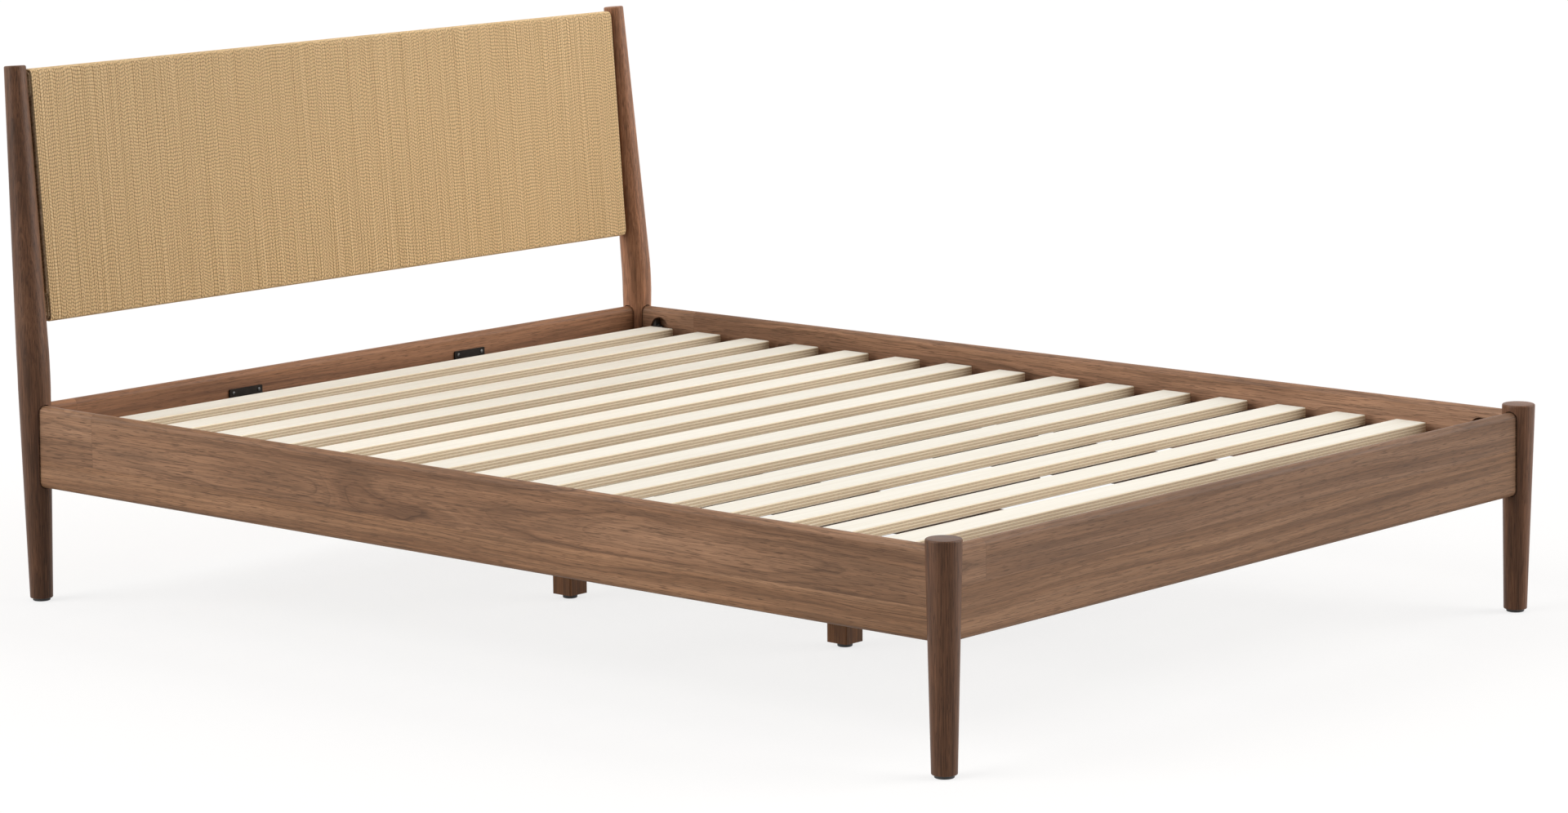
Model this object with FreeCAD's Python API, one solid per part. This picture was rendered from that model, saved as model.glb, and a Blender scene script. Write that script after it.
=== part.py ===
"""Low wooden bed frame with a cord-wrapped headboard, built as separate pieces in millimetres.

Working axes: X across the bed, Y from the foot-leg axis towards the head, Z up from the floor.
Every piece is moved along Y at the end so that the origin is the middle of the footprint.
"""
import FreeCAD, Part
import math
import os
from FreeCAD import Vector

# Mattress that the frame is made for
MATTRESS_WIDTH = 1500.0
MATTRESS_LENGTH = 2000.0
SIDE_GAP = 14.0
END_GAP = 24.0

# General fits
FIT = 0.2
RUNNING_FIT = 0.3
HOUSING_GAP = 1.0
OVERRUN = 5.0
ROD_SIDES = 6
PAD_SIDES = 16

# Rails
RAIL_THICKNESS = 22.0
RAIL_HEIGHT = 146.0
RAIL_BOTTOM = 205.0
RAIL_ROUND = 10.0
RAIL_SEAT = 18.0
RAIL_TENON_LENGTH = 10.0
RAIL_TENON_THICKNESS = 12.0
RAIL_TENON_HEIGHT = 100.0

# Turned legs and head posts
LEG_RISE = 12.5
LEG_BOTTOM_DIAMETER = 40.5
LEG_TOP_DIAMETER = 56.5
LEG_TOP_ROUND = 3.0
EASE_SHARE = 0.3
LEG_BOTTOM_EASE = 2.0
POST_KNEE_RISE = 59.0
POST_KNEE_BLEND = 30.0
POST_HEIGHT = 945.0
POST_TOP_DIAMETER = 38.6
POST_LEAN_BACK = 40.0
POST_LEAN_IN = 5.0

# Glides under the legs
GLIDE_HEIGHT = 5.0
GLIDE_DIAMETER = 31.0
GLIDE_EASE = 1.5

# Bolted corner joint: stud screwed into the post, half-moon washer and nut
STUD_DIAMETER = 8.0
STUD_TOP_INSET = 41.0
STUD_SPACING = 64.0
STUD_TAIL = 6.0
STUD_DEPTH = 28.0
POCKET_DIAMETER = 46.0
POCKET_OFFSET = 70.0
WASHER_THICKNESS = 9.0
WASHER_WIDTH = 13.0
WASHER_SIDES = 6
NUT_ACROSS_FLATS = 13.0
NUT_THICKNESS = 6.5
NUT_POCKET_GAP = 0.5
HEX_SIDES = 6

# Slats and the ledgers under their ends
SLAT_COUNT = 15
SLAT_WIDTH = 62.0
SLAT_THICKNESS = 18.0
SLAT_DROP = 35.0
SLAT_EASE = 1.5
SLAT_END_GAP = 16.0
SLAT_HEAD_OFFSET = 79.0
SLAT_FOOT_OFFSET = 191.0
LEDGER_WIDTH = 36.0
LEDGER_HEIGHT = 28.0
LEDGER_END_OFFSET = 40.0
LEDGER_EASE = 2.0

# Centre support: two beams in steel hangers, two crossbars and four short legs
BEAM_OFFSET = 289.0
BEAM_WIDTH = 42.0
BEAM_HEIGHT = 58.0
BEAM_EASE = 2.0
BEAM_END_GAP = 0.5
CROSSBAR_SPACING = 640.0
CROSSBAR_WIDTH = 44.0
CROSSBAR_HEIGHT = 42.0
CROSSBAR_OVERHANG = 20.0
CENTRE_LEG_OFFSET = 170.0
CENTRE_LEG_WIDTH = 44.0
CENTRE_LEG_EASE = 2.0

# Levellers: screw feet in threaded sleeves under the centre legs
LEVELLER_HEIGHT = 8.0
LEVELLER_DIAMETER = 26.0
LEVELLER_EASE = 2.0
STEM_DIAMETER = 8.0
STEM_LENGTH = 36.0
SLEEVE_DIAMETER = 12.0
SLEEVE_LENGTH = 22.0

# Folded steel hangers for the beams
HANGER_SHEET = 3.0
HANGER_PLATE_WIDTH = 80.0
HANGER_PLATE_RISE = 5.0
HANGER_PLATE_DROP = 14.0
HANGER_PLATE_EASE = 1.5
HANGER_DEPTH = 40.0
HANGER_CHEEK_HEIGHT = 46.0
HANGER_BEND = 2.0

# Headboard: two bars and three stiles inside a sleeve of wound cord
CORD_DIAMETER = 4.0
PANEL_LIFT = 83.5
PANEL_DROP = 6.0
PANEL_THICKNESS = 30.0
PANEL_ROUND = 10.0
PANEL_POST_GAP = 2.6
BAR_HEIGHT = 45.0
BAR_SHOULDER_GAP = 2.0
BAR_TENON_LENGTH = 22.0
BAR_TENON_THICKNESS = 14.0
BAR_TENON_HEIGHT = 30.0
STILE_WIDTH = 40.0
STILE_INSET = 32.0
STILE_TENON_LENGTH = 14.0
STILE_TENON_THICKNESS = 10.0
STILE_TENON_WIDTH = 26.0

# Places worked out from the sizes above
LEG_SPACING = MATTRESS_WIDTH + 2 * SIDE_GAP + RAIL_THICKNESS
FRAME_LENGTH = MATTRESS_LENGTH + 2 * END_GAP + RAIL_THICKNESS
LEG_X = LEG_SPACING / 2
RAIL_HALF = RAIL_THICKNESS / 2
RAIL_MIDDLE = RAIL_BOTTOM + RAIL_HEIGHT / 2
RAIL_TOP = RAIL_BOTTOM + RAIL_HEIGHT
LEG_HEIGHT = RAIL_TOP + LEG_RISE
POST_KNEE_HEIGHT = RAIL_TOP + POST_KNEE_RISE
STUD_HEIGHTS = (RAIL_TOP - STUD_TOP_INSET, RAIL_TOP - STUD_TOP_INSET - STUD_SPACING)
POCKET_WALL = RAIL_HALF - NUT_ACROSS_FLATS / 2 - NUT_POCKET_GAP
INNER_X = LEG_X - RAIL_HALF
FOOT_INNER_Y = RAIL_HALF
HEAD_INNER_Y = FRAME_LENGTH - RAIL_HALF
MIDDLE_Y = FRAME_LENGTH / 2
TAPER = (LEG_TOP_DIAMETER - LEG_BOTTOM_DIAMETER) / 2 / (LEG_HEIGHT - GLIDE_HEIGHT)
KNEE_RADIUS = LEG_BOTTOM_DIAMETER / 2 + TAPER * (POST_KNEE_HEIGHT - GLIDE_HEIGHT)
POST_INNER_X = LEG_X - KNEE_RADIUS
LEAN_DEGREES = math.degrees(math.atan2(POST_LEAN_BACK, POST_HEIGHT - POST_KNEE_HEIGHT))
SLAT_TOP = RAIL_TOP - SLAT_DROP
SLAT_BOTTOM = SLAT_TOP - SLAT_THICKNESS
SLAT_LENGTH = 2 * (INNER_X - SLAT_END_GAP)
SLAT_SPAN = HEAD_INNER_Y - SLAT_HEAD_OFFSET - FOOT_INNER_Y - SLAT_FOOT_OFFSET
SLAT_PITCH = SLAT_SPAN / (SLAT_COUNT - 1)
BEAM_BOTTOM = SLAT_BOTTOM - BEAM_HEIGHT
CROSSBAR_BOTTOM = BEAM_BOTTOM - CROSSBAR_HEIGHT
CROSSBAR_LENGTH = 2 * BEAM_OFFSET + BEAM_WIDTH + 2 * CROSSBAR_OVERHANG
HANGER_PLATE_TOP = SLAT_TOP + HANGER_PLATE_RISE
PANEL_HEIGHT = POST_HEIGHT - POST_KNEE_HEIGHT - PANEL_LIFT - PANEL_DROP
PANEL_HALF_WIDTH = POST_INNER_X - POST_LEAN_IN - PANEL_POST_GAP
BAR_THICKNESS = PANEL_THICKNESS - 2 * CORD_DIAMETER
BAR_EASE = PANEL_ROUND - CORD_DIAMETER
BAR_HALF_LENGTH = PANEL_HALF_WIDTH + BAR_SHOULDER_GAP
BOTTOM_BAR_Z = PANEL_LIFT + CORD_DIAMETER + BAR_HEIGHT / 2
TOP_BAR_Z = PANEL_LIFT + PANEL_HEIGHT - CORD_DIAMETER - BAR_HEIGHT / 2

UP = Vector(0, 0, 1)
HEADWARD = Vector(0, 1, 0)
FOOTWARD = Vector(0, -1, 0)
RIGHTWARD = Vector(1, 0, 0)
LEFTWARD = Vector(-1, 0, 0)
ORIGIN = Vector(0, 0, 0)


# Shape helpers
def block(width, depth, height, centre):
    """Plain box centred on a point."""
    corner = centre - Vector(width / 2, depth / 2, height / 2)
    return Part.makeBox(width, depth, height, corner)


def soft_bar(width, length, height, radius):
    """Bar along Y, centred on the origin, with its four long edges rounded."""
    bar = block(width, length, height, ORIGIN)
    long_edges = [edge for edge in bar.Edges if edge.BoundBox.YLength > length / 2]
    return bar.makeFillet(radius, long_edges)


def eased_bar(width, length, height, ease):
    """Bar along Y, centred on the origin, with its four long edges chamfered."""
    bar = block(width, length, height, ORIGIN)
    long_edges = [edge for edge in bar.Edges if edge.BoundBox.YLength > length / 2]
    return bar.makeChamfer(ease, long_edges)


def turned_to_x(shape):
    """Turn a bar made along Y so that it runs along X."""
    return shape.rotate(ORIGIN, UP, 90)


def moved(shape, place):
    """Shift a freshly made shape and hand it back."""
    shape.translate(place)
    return shape


def revolved(outline, base, direction):
    """Round turning: outline points are (radius, distance from base along direction)."""
    points = [Vector(radius, 0, height) for radius, height in outline]
    face = Part.Face(Part.makePolygon(points + points[:1]))
    solid = face.revolve(ORIGIN, UP, 360)
    solid.Placement = FreeCAD.Placement(base, FreeCAD.Rotation(UP, direction))
    return solid


def prism(diameter, length, sides):
    """Upright many-sided rod on the origin."""
    turns = [2 * math.pi * side / sides for side in range(sides)]
    corners = [Vector(math.cos(turn), math.sin(turn), 0) * (diameter / 2) for turn in turns]
    return Part.Face(Part.makePolygon(corners + corners[:1])).extrude(UP * length)


def rod(diameter, length, start, direction):
    """Small straight rod, or the room for one, from a start point along a direction."""
    solid = prism(diameter, length, ROD_SIDES)
    solid.Placement = FreeCAD.Placement(start, FreeCAD.Rotation(UP, direction))
    return solid


def floor_pad(diameter, height, ease, spot):
    """Round pad on the floor whose lower edge is eased all round."""
    pad = prism(diameter, height, PAD_SIDES)
    low_edges = [edge for edge in pad.Edges if edge.BoundBox.ZMax < height / 2]
    return moved(pad.makeChamfer(ease, low_edges), spot)


def mirrored(shape):
    """The same piece on the other side of the bed."""
    return shape.mirror(ORIGIN, RIGHTWARD)


def group(solids):
    """Left-hand solids with their right-hand twins."""
    return Part.makeCompound(solids + [mirrored(solid) for solid in solids])


def eased_end(radius, end, ease):
    """Outline points of a round end whose edge is softened in two short steps."""
    near = ease * EASE_SHARE
    return [(radius, end - ease), (radius - near, end - near), (radius - ease, end)]


# Places that repeat
def slat_rows():
    """Y of each slat's middle line, from the head to the foot."""
    first = HEAD_INNER_Y - SLAT_HEAD_OFFSET
    return [first - row * SLAT_PITCH for row in range(SLAT_COUNT)]


def crossbar_rows():
    """Y of the two crossbars, foot one first."""
    return [MIDDLE_Y - CROSSBAR_SPACING / 2, MIDDLE_Y + CROSSBAR_SPACING / 2]


def corner_joints():
    """Post axis and direction along the rail for the two corners on the left."""
    return [(0, HEADWARD), (FRAME_LENGTH, FOOTWARD)]


# Turned legs and leaning posts
def rail_housing(direction):
    """Cut in a post for a rail end, seated RAIL_SEAT from the post axis."""
    length = LEG_TOP_DIAMETER
    width = RAIL_THICKNESS + 2 * HOUSING_GAP
    cut = soft_bar(width, length, RAIL_HEIGHT + 2 * HOUSING_GAP, RAIL_ROUND + HOUSING_GAP)
    if direction.x:
        cut = turned_to_x(cut)
    return moved(cut, direction * (RAIL_SEAT + length / 2) + UP * RAIL_MIDDLE)


def tenon_mortise():
    """Cut in a post for the tenon of a head or foot rail."""
    depth = RAIL_TENON_LENGTH + FIT
    middle = Vector(RAIL_SEAT - depth / 2, 0, RAIL_MIDDLE)
    return block(depth, RAIL_TENON_THICKNESS + 2 * FIT, RAIL_TENON_HEIGHT + 2 * FIT, middle)


def stud_bores(direction):
    """Blind holes in a post for the studs of the side rail."""
    starts = [direction * RAIL_SEAT + UP * height for height in STUD_HEIGHTS]
    return [rod(STUD_DIAMETER + 2 * FIT, STUD_DEPTH + FIT, start, direction * -1) for start in starts]


def joint_cuts(direction):
    """All cuts of one corner joint, about a post axis at the origin."""
    cuts = [rail_housing(direction), rail_housing(RIGHTWARD), tenon_mortise()]
    return cuts + stud_bores(direction)


def leg_radius(height):
    """Radius of a leg's taper at a height."""
    return LEG_BOTTOM_DIAMETER / 2 + TAPER * (height - GLIDE_HEIGHT)


def leg_foot_outline():
    """Outline points of a leg's eased lower end."""
    ease_end = GLIDE_HEIGHT + LEG_BOTTOM_EASE
    rim = (leg_radius(GLIDE_HEIGHT) - LEG_BOTTOM_EASE, GLIDE_HEIGHT)
    return [(0, GLIDE_HEIGHT), rim, (leg_radius(ease_end), ease_end)]


def foot_leg():
    """Left foot leg: one straight taper from a soft-edged top to the floor glide."""
    outline = leg_foot_outline()
    outline += eased_end(LEG_TOP_DIAMETER / 2, LEG_HEIGHT, LEG_TOP_ROUND) + [(0, LEG_HEIGHT)]
    leg = revolved(outline, ORIGIN, UP)
    return moved(leg.cut(joint_cuts(HEADWARD)), LEFTWARD * LEG_X)


def leaned(shape):
    """Lean a piece made upright about the knee back into the headboard plane."""
    shape.rotate(ORIGIN, RIGHTWARD, -LEAN_DEGREES)
    return moved(shape, UP * POST_KNEE_HEIGHT)


def bar_mortise(bar_height):
    """Cut in the left post for the tenon of a headboard bar, in the post's own axes."""
    length = BAR_TENON_LENGTH + 2 * FIT
    middle = LEG_X - BAR_HALF_LENGTH - length / 2
    thickness = BAR_TENON_THICKNESS + 2 * FIT
    place = Vector(middle, 0, bar_height)
    return leaned(block(length, thickness, BAR_TENON_HEIGHT + 2 * FIT, place))


def post_shaft():
    """Left head post about its lower axis: leg taper, short bend, slimmer leaning part.

    The leaning part slims on its outer side, and its inner side leans in by POST_LEAN_IN.
    """
    bend_start = POST_KNEE_HEIGHT - POST_KNEE_BLEND
    radius = leg_radius(bend_start)
    top_radius = POST_TOP_DIAMETER / 2
    sideways = Vector(radius - top_radius + POST_LEAN_IN, POST_LEAN_BACK, 0)
    axis = sideways + UP * (POST_HEIGHT - POST_KNEE_HEIGHT)
    angle = UP.getAngle(axis)
    bend_radius = POST_KNEE_BLEND / math.tan(angle / 2)
    toward = sideways.normalize()
    upper_length = axis.Length - POST_KNEE_BLEND
    along = axis.normalize()

    lower_outline = leg_foot_outline() + [(radius, bend_start), (0, bend_start)]
    lower = revolved(lower_outline, ORIGIN, UP)
    ring = Part.Face(Part.Wire(Part.makeCircle(radius, UP * bend_start, UP)))
    centre = UP * bend_start + toward * bend_radius
    bend = ring.revolve(centre, UP.cross(toward), math.degrees(angle))
    upper_outline = [(0, 0), (radius, 0)]
    upper_outline += eased_end(top_radius, upper_length, LEG_TOP_ROUND) + [(0, upper_length)]
    upper = revolved(upper_outline, UP * POST_KNEE_HEIGHT + along * POST_KNEE_BLEND, along)
    return lower.fuse([bend, upper]).removeSplitter()


def head_post():
    """Left head post with its rail housings and the mortises for the headboard bars."""
    mortises = [bar_mortise(height) for height in (BOTTOM_BAR_Z, TOP_BAR_Z)]
    post = post_shaft().cut(joint_cuts(FOOTWARD) + mortises)
    return moved(post, LEFTWARD * LEG_X + HEADWARD * FRAME_LENGTH)


def corner_glides():
    """Glides under the four legs."""
    spots = [Vector(-LEG_X, y, 0) for y, _ in corner_joints()]
    return group([floor_pad(GLIDE_DIAMETER, GLIDE_HEIGHT, GLIDE_EASE, spot) for spot in spots])


# Rails
def side_rail():
    """Left side rail with stud holes and round nut pockets at both ends."""
    length = FRAME_LENGTH - 2 * RAIL_SEAT
    rail = soft_bar(RAIL_THICKNESS, length, RAIL_HEIGHT, RAIL_ROUND)
    rail = moved(rail, Vector(-LEG_X, MIDDLE_Y, RAIL_MIDDLE))
    cuts = []
    for axis_y, along in corner_joints():
        for height in STUD_HEIGHTS:
            end = Vector(-LEG_X, axis_y, height)
            centre = end + along * POCKET_OFFSET
            floor = Vector(-INNER_X - RAIL_THICKNESS + POCKET_WALL, centre.y, height)
            cuts.append(rod(STUD_DIAMETER + 2 * FIT, POCKET_OFFSET, end, along))
            cuts.append(Part.makeCylinder(POCKET_DIAMETER / 2, RAIL_THICKNESS, floor, RIGHTWARD))
    return rail.cut(cuts)


def end_rail(axis_y):
    """Head or foot rail with a tenon at each end."""
    length = LEG_SPACING - 2 * RAIL_SEAT
    middle = Vector(0, axis_y, RAIL_MIDDLE)
    rail = turned_to_x(soft_bar(RAIL_THICKNESS, length, RAIL_HEIGHT, RAIL_ROUND))
    rail = moved(rail, middle)
    tenons = block(length + 2 * RAIL_TENON_LENGTH, RAIL_TENON_THICKNESS, RAIL_TENON_HEIGHT, middle)
    return rail.fuse(tenons).removeSplitter()


# Bolted corner joints
def studs():
    """Studs from the posts through the rail ends into the rail pockets."""
    solids = []
    tail = RAIL_SEAT - STUD_DEPTH
    length = POCKET_OFFSET - POCKET_DIAMETER / 2 + WASHER_THICKNESS + NUT_THICKNESS + STUD_TAIL - tail
    for axis_y, along in corner_joints():
        for height in STUD_HEIGHTS:
            start = Vector(-LEG_X, axis_y, height) + along * tail
            solids.append(rod(STUD_DIAMETER, length, start, along))
    return group(solids)


def washer_face(axis_y, along, height):
    """Middle of a half-moon washer's flat face, on the stud's axis."""
    reach = POCKET_OFFSET - POCKET_DIAMETER / 2 + WASHER_THICKNESS
    return Vector(-LEG_X, axis_y, height) + along * reach


def half_moon_washers():
    """Washers that follow the pocket's round wall and give the nut a flat face."""
    radius = POCKET_DIAMETER / 2 - FIT
    half_turn = math.acos((POCKET_DIAMETER / 2 - WASHER_THICKNESS) / radius)
    turns = [half_turn * (2 * side / WASHER_SIDES - 1) for side in range(WASHER_SIDES + 1)]
    solids = []
    for axis_y, along in corner_joints():
        for height in STUD_HEIGHTS:
            start = Vector(-LEG_X - WASHER_WIDTH / 2, axis_y, height) + along * POCKET_OFFSET
            spokes = [UP * math.sin(turn) - along * math.cos(turn) for turn in turns]
            back = [start + spoke * radius for spoke in spokes]
            moon = Part.Face(Part.makePolygon(back + back[:1])).extrude(RIGHTWARD * WASHER_WIDTH)
            face = washer_face(axis_y, along, height)
            hole = rod(STUD_DIAMETER + 2 * FIT, WASHER_THICKNESS, face, along * -1)
            solids.append(moon.cut(hole))
    return group(solids)


def stud_nuts():
    """Hexagon nuts on the flat faces of the half-moon washers."""
    solids = []
    radius = NUT_ACROSS_FLATS / 2 / math.cos(math.pi / HEX_SIDES)
    corners = []
    for side in range(HEX_SIDES + 1):
        turn = 2 * math.pi * side / HEX_SIDES
        corners.append(Vector(radius * math.sin(turn), 0, radius * math.cos(turn)))
    for axis_y, along in corner_joints():
        for height in STUD_HEIGHTS:
            face = washer_face(axis_y, along, height)
            hexagon = Part.Face(Part.makePolygon([face + corner for corner in corners]))
            nut = hexagon.extrude(along * NUT_THICKNESS)
            solids.append(nut.cut(rod(STUD_DIAMETER + 2 * FIT, NUT_THICKNESS, face, along)))
    return group(solids)


# Slats and ledgers
def slat(y):
    """One plywood slat with its long edges eased above and below."""
    bar = turned_to_x(eased_bar(SLAT_WIDTH, SLAT_LENGTH, SLAT_THICKNESS, SLAT_EASE))
    return moved(bar, Vector(0, y, SLAT_TOP - SLAT_THICKNESS / 2))


def ledger():
    """Left ledger on the inner face of the side rail, eased on its free side."""
    length = FRAME_LENGTH - 2 * LEDGER_END_OFFSET
    place = Vector(-INNER_X + LEDGER_WIDTH / 2, MIDDLE_Y, SLAT_BOTTOM - LEDGER_HEIGHT / 2)
    strip = block(LEDGER_WIDTH, length, LEDGER_HEIGHT, place)
    long_edges = [edge for edge in strip.Edges if edge.BoundBox.YLength > length / 2]
    inner_edges = [edge for edge in long_edges if edge.BoundBox.Center.x > place.x]
    return strip.makeChamfer(LEDGER_EASE, inner_edges)


# Centre support
def centre_beam():
    """Left beam under the slats, hung between the head and foot rails."""
    length = HEAD_INNER_Y - FOOT_INNER_Y - 2 * HANGER_SHEET - 2 * BEAM_END_GAP
    beam = eased_bar(BEAM_WIDTH, length, BEAM_HEIGHT, BEAM_EASE)
    return moved(beam, Vector(-BEAM_OFFSET, MIDDLE_Y, BEAM_BOTTOM + BEAM_HEIGHT / 2))


def crossbar(y):
    """Crossbar under both beams that carries a pair of centre legs."""
    bar = turned_to_x(eased_bar(CROSSBAR_WIDTH, CROSSBAR_LENGTH, CROSSBAR_HEIGHT, BEAM_EASE))
    return moved(bar, Vector(0, y, CROSSBAR_BOTTOM + CROSSBAR_HEIGHT / 2))


def centre_leg(y):
    """Left square leg with the bores of a threaded sleeve and a leveller's stem below."""
    height = CROSSBAR_BOTTOM - LEVELLER_HEIGHT
    leg = eased_bar(CENTRE_LEG_WIDTH, height, CENTRE_LEG_WIDTH, CENTRE_LEG_EASE)
    leg = leg.rotate(ORIGIN, RIGHTWARD, 90)
    leg = moved(leg, Vector(-CENTRE_LEG_OFFSET, y, LEVELLER_HEIGHT + height / 2))
    bottom = Vector(-CENTRE_LEG_OFFSET, y, LEVELLER_HEIGHT)
    cuts = [
        rod(SLEEVE_DIAMETER + 2 * FIT, SLEEVE_LENGTH + FIT, bottom, UP),
        rod(STEM_DIAMETER + 2 * RUNNING_FIT, STEM_LENGTH + OVERRUN, bottom, UP),
    ]
    return leg.cut(cuts)


def leveller_sleeves():
    """Threaded sleeves flush in the undersides of the centre legs."""
    solids = []
    for y in crossbar_rows():
        start = Vector(-CENTRE_LEG_OFFSET, y, LEVELLER_HEIGHT)
        shell = rod(SLEEVE_DIAMETER, SLEEVE_LENGTH, start, UP)
        bore = rod(STEM_DIAMETER + 2 * RUNNING_FIT, SLEEVE_LENGTH, start, UP)
        solids.append(shell.cut(bore))
    return group(solids)


def leveller(y):
    """Left leveller: a round pad on a threaded stem."""
    spot = Vector(-CENTRE_LEG_OFFSET, y, 0)
    stem = rod(STEM_DIAMETER, STEM_LENGTH, spot + UP * LEVELLER_HEIGHT, UP)
    return floor_pad(LEVELLER_DIAMETER, LEVELLER_HEIGHT, LEVELLER_EASE, spot).fuse(stem)


# Beam hangers
def beam_hanger(rail_face, inward):
    """Left hanger: a back plate with a folded cradle for the beam's end."""
    sheet_bottom = BEAM_BOTTOM - HANGER_SHEET
    plate_bottom = sheet_bottom - HANGER_PLATE_DROP
    plate_height = HANGER_PLATE_TOP - plate_bottom
    plate = eased_bar(HANGER_PLATE_WIDTH, HANGER_SHEET, plate_height, HANGER_PLATE_EASE)
    back = Vector(-BEAM_OFFSET, rail_face, plate_bottom + plate_height / 2)
    plate = moved(plate, back + inward * (HANGER_SHEET / 2))
    room_width = BEAM_WIDTH + 2 * FIT
    middle = Vector(-BEAM_OFFSET, rail_face, sheet_bottom) + inward * (HANGER_DEPTH / 2)
    cradle_middle = middle + UP * (HANGER_CHEEK_HEIGHT / 2)
    cradle = block(room_width + 2 * HANGER_SHEET, HANGER_DEPTH, HANGER_CHEEK_HEIGHT, cradle_middle)
    low_edges = [edge for edge in cradle.Edges if edge.BoundBox.YLength > HANGER_DEPTH / 2]
    low_edges = [edge for edge in low_edges if edge.BoundBox.Center.z < BEAM_BOTTOM]
    cradle = cradle.makeFillet(HANGER_BEND, low_edges)
    room_middle = middle + UP * (HANGER_SHEET + BEAM_HEIGHT / 2)
    room = block(room_width, HANGER_DEPTH, BEAM_HEIGHT, room_middle)
    return cradle.cut(room).fuse(plate).removeSplitter()


# Headboard
def stile_places():
    """X of the three upright stiles inside the headboard."""
    outer = PANEL_HALF_WIDTH - STILE_INSET
    return {"left": -outer, "middle": 0, "right": outer}


def stile_tenon(x, slack):
    """Both tenons of a stile as one block, grown by a slack for the mortises."""
    length = TOP_BAR_Z - BOTTOM_BAR_Z - BAR_HEIGHT + 2 * STILE_TENON_LENGTH
    middle = Vector(x, 0, (TOP_BAR_Z + BOTTOM_BAR_Z) / 2)
    grown = 2 * slack
    return block(STILE_TENON_WIDTH + grown, STILE_TENON_THICKNESS + grown, length + grown, middle)


def headboard_bar(height):
    """Cross bar with a tenon at each end and mortises for the stiles."""
    place = UP * height
    bar = moved(turned_to_x(eased_bar(BAR_THICKNESS, 2 * BAR_HALF_LENGTH, BAR_HEIGHT, BAR_EASE)), place)
    reach = 2 * (BAR_HALF_LENGTH + BAR_TENON_LENGTH)
    bar = bar.fuse(block(reach, BAR_TENON_THICKNESS, BAR_TENON_HEIGHT, place))
    bar = bar.cut([stile_tenon(x, FIT) for x in stile_places().values()]).removeSplitter()
    return moved(leaned(bar), HEADWARD * FRAME_LENGTH)


def headboard_stile(x):
    """Upright stile that keeps the two bars apart under the pull of the cord."""
    length = TOP_BAR_Z - BOTTOM_BAR_Z - BAR_HEIGHT
    middle = Vector(x, 0, (TOP_BAR_Z + BOTTOM_BAR_Z) / 2)
    stile = block(STILE_WIDTH, BAR_THICKNESS, length, middle).fuse(stile_tenon(x, 0)).removeSplitter()
    return moved(leaned(stile), HEADWARD * FRAME_LENGTH)


def cord_wrap():
    """Outer form of the cord wound over both bars: two flat sides and two bends."""
    length = 2 * PANEL_HALF_WIDTH
    outer = turned_to_x(soft_bar(PANEL_THICKNESS, length, PANEL_HEIGHT, PANEL_ROUND))
    room_height = PANEL_HEIGHT - 2 * CORD_DIAMETER + 2 * FIT
    room = turned_to_x(eased_bar(BAR_THICKNESS + 2 * FIT, length + 2 * OVERRUN, room_height, BAR_EASE))
    sleeve = outer.cut(room)
    flat = block(length, PANEL_THICKNESS / 2, PANEL_HEIGHT - 2 * PANEL_ROUND, ORIGIN)
    bend = block(length, PANEL_THICKNESS, PANEL_ROUND, ORIGIN)
    to_side = HEADWARD * (PANEL_THICKNESS / 4)
    to_end = UP * ((PANEL_HEIGHT - PANEL_ROUND) / 2)
    keeps = {
        "front": flat.translated(to_side * -1),
        "back": flat.translated(to_side),
        "bottom": bend.translated(to_end * -1),
        "top": bend.translated(to_end),
    }
    place = UP * (PANEL_LIFT + PANEL_HEIGHT / 2)
    pieces = {}
    for name, keep in keeps.items():
        piece = leaned(moved(sleeve.common(keep), place))
        pieces[name] = moved(piece, HEADWARD * FRAME_LENGTH)
    return pieces


def pair(nodes, name, shape):
    """Enter a left-hand piece and its right-hand twin."""
    nodes[name + "_left"] = shape
    nodes[name + "_right"] = mirrored(shape)


def build_nodes():
    """Every piece of the bed by its node name."""
    nodes = {}
    nodes["foot_legs"] = group([foot_leg()])
    nodes["head_posts"] = group([head_post()])
    pair(nodes, "side_rail", side_rail())
    nodes["foot_rail"] = end_rail(0)
    nodes["head_rail"] = end_rail(FRAME_LENGTH)
    nodes["corner_glides"] = corner_glides()
    nodes["rail_studs"] = studs()
    nodes["half_moon_washers"] = half_moon_washers()
    nodes["stud_nuts"] = stud_nuts()
    for number, y in enumerate(slat_rows(), start=1):
        nodes["slat_%02d" % number] = slat(y)
    pair(nodes, "ledger", ledger())
    pair(nodes, "centre_beam", centre_beam())
    pair(nodes, "beam_hanger_foot", beam_hanger(FOOT_INNER_Y, HEADWARD))
    pair(nodes, "beam_hanger_head", beam_hanger(HEAD_INNER_Y, FOOTWARD))
    for end, y in zip(("foot", "head"), crossbar_rows()):
        nodes["crossbar_" + end] = crossbar(y)
        pair(nodes, "centre_leg_" + end, centre_leg(y))
        pair(nodes, "leveller_" + end, leveller(y))
    nodes["leveller_sleeves"] = leveller_sleeves()
    nodes["headboard_top_bar"] = headboard_bar(TOP_BAR_Z)
    nodes["headboard_bottom_bar"] = headboard_bar(BOTTOM_BAR_Z)
    for side, x in stile_places().items():
        nodes["headboard_stile_" + side] = headboard_stile(x)
    for name, piece in cord_wrap().items():
        nodes["cord_wrap_" + name] = piece
    return nodes


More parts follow.
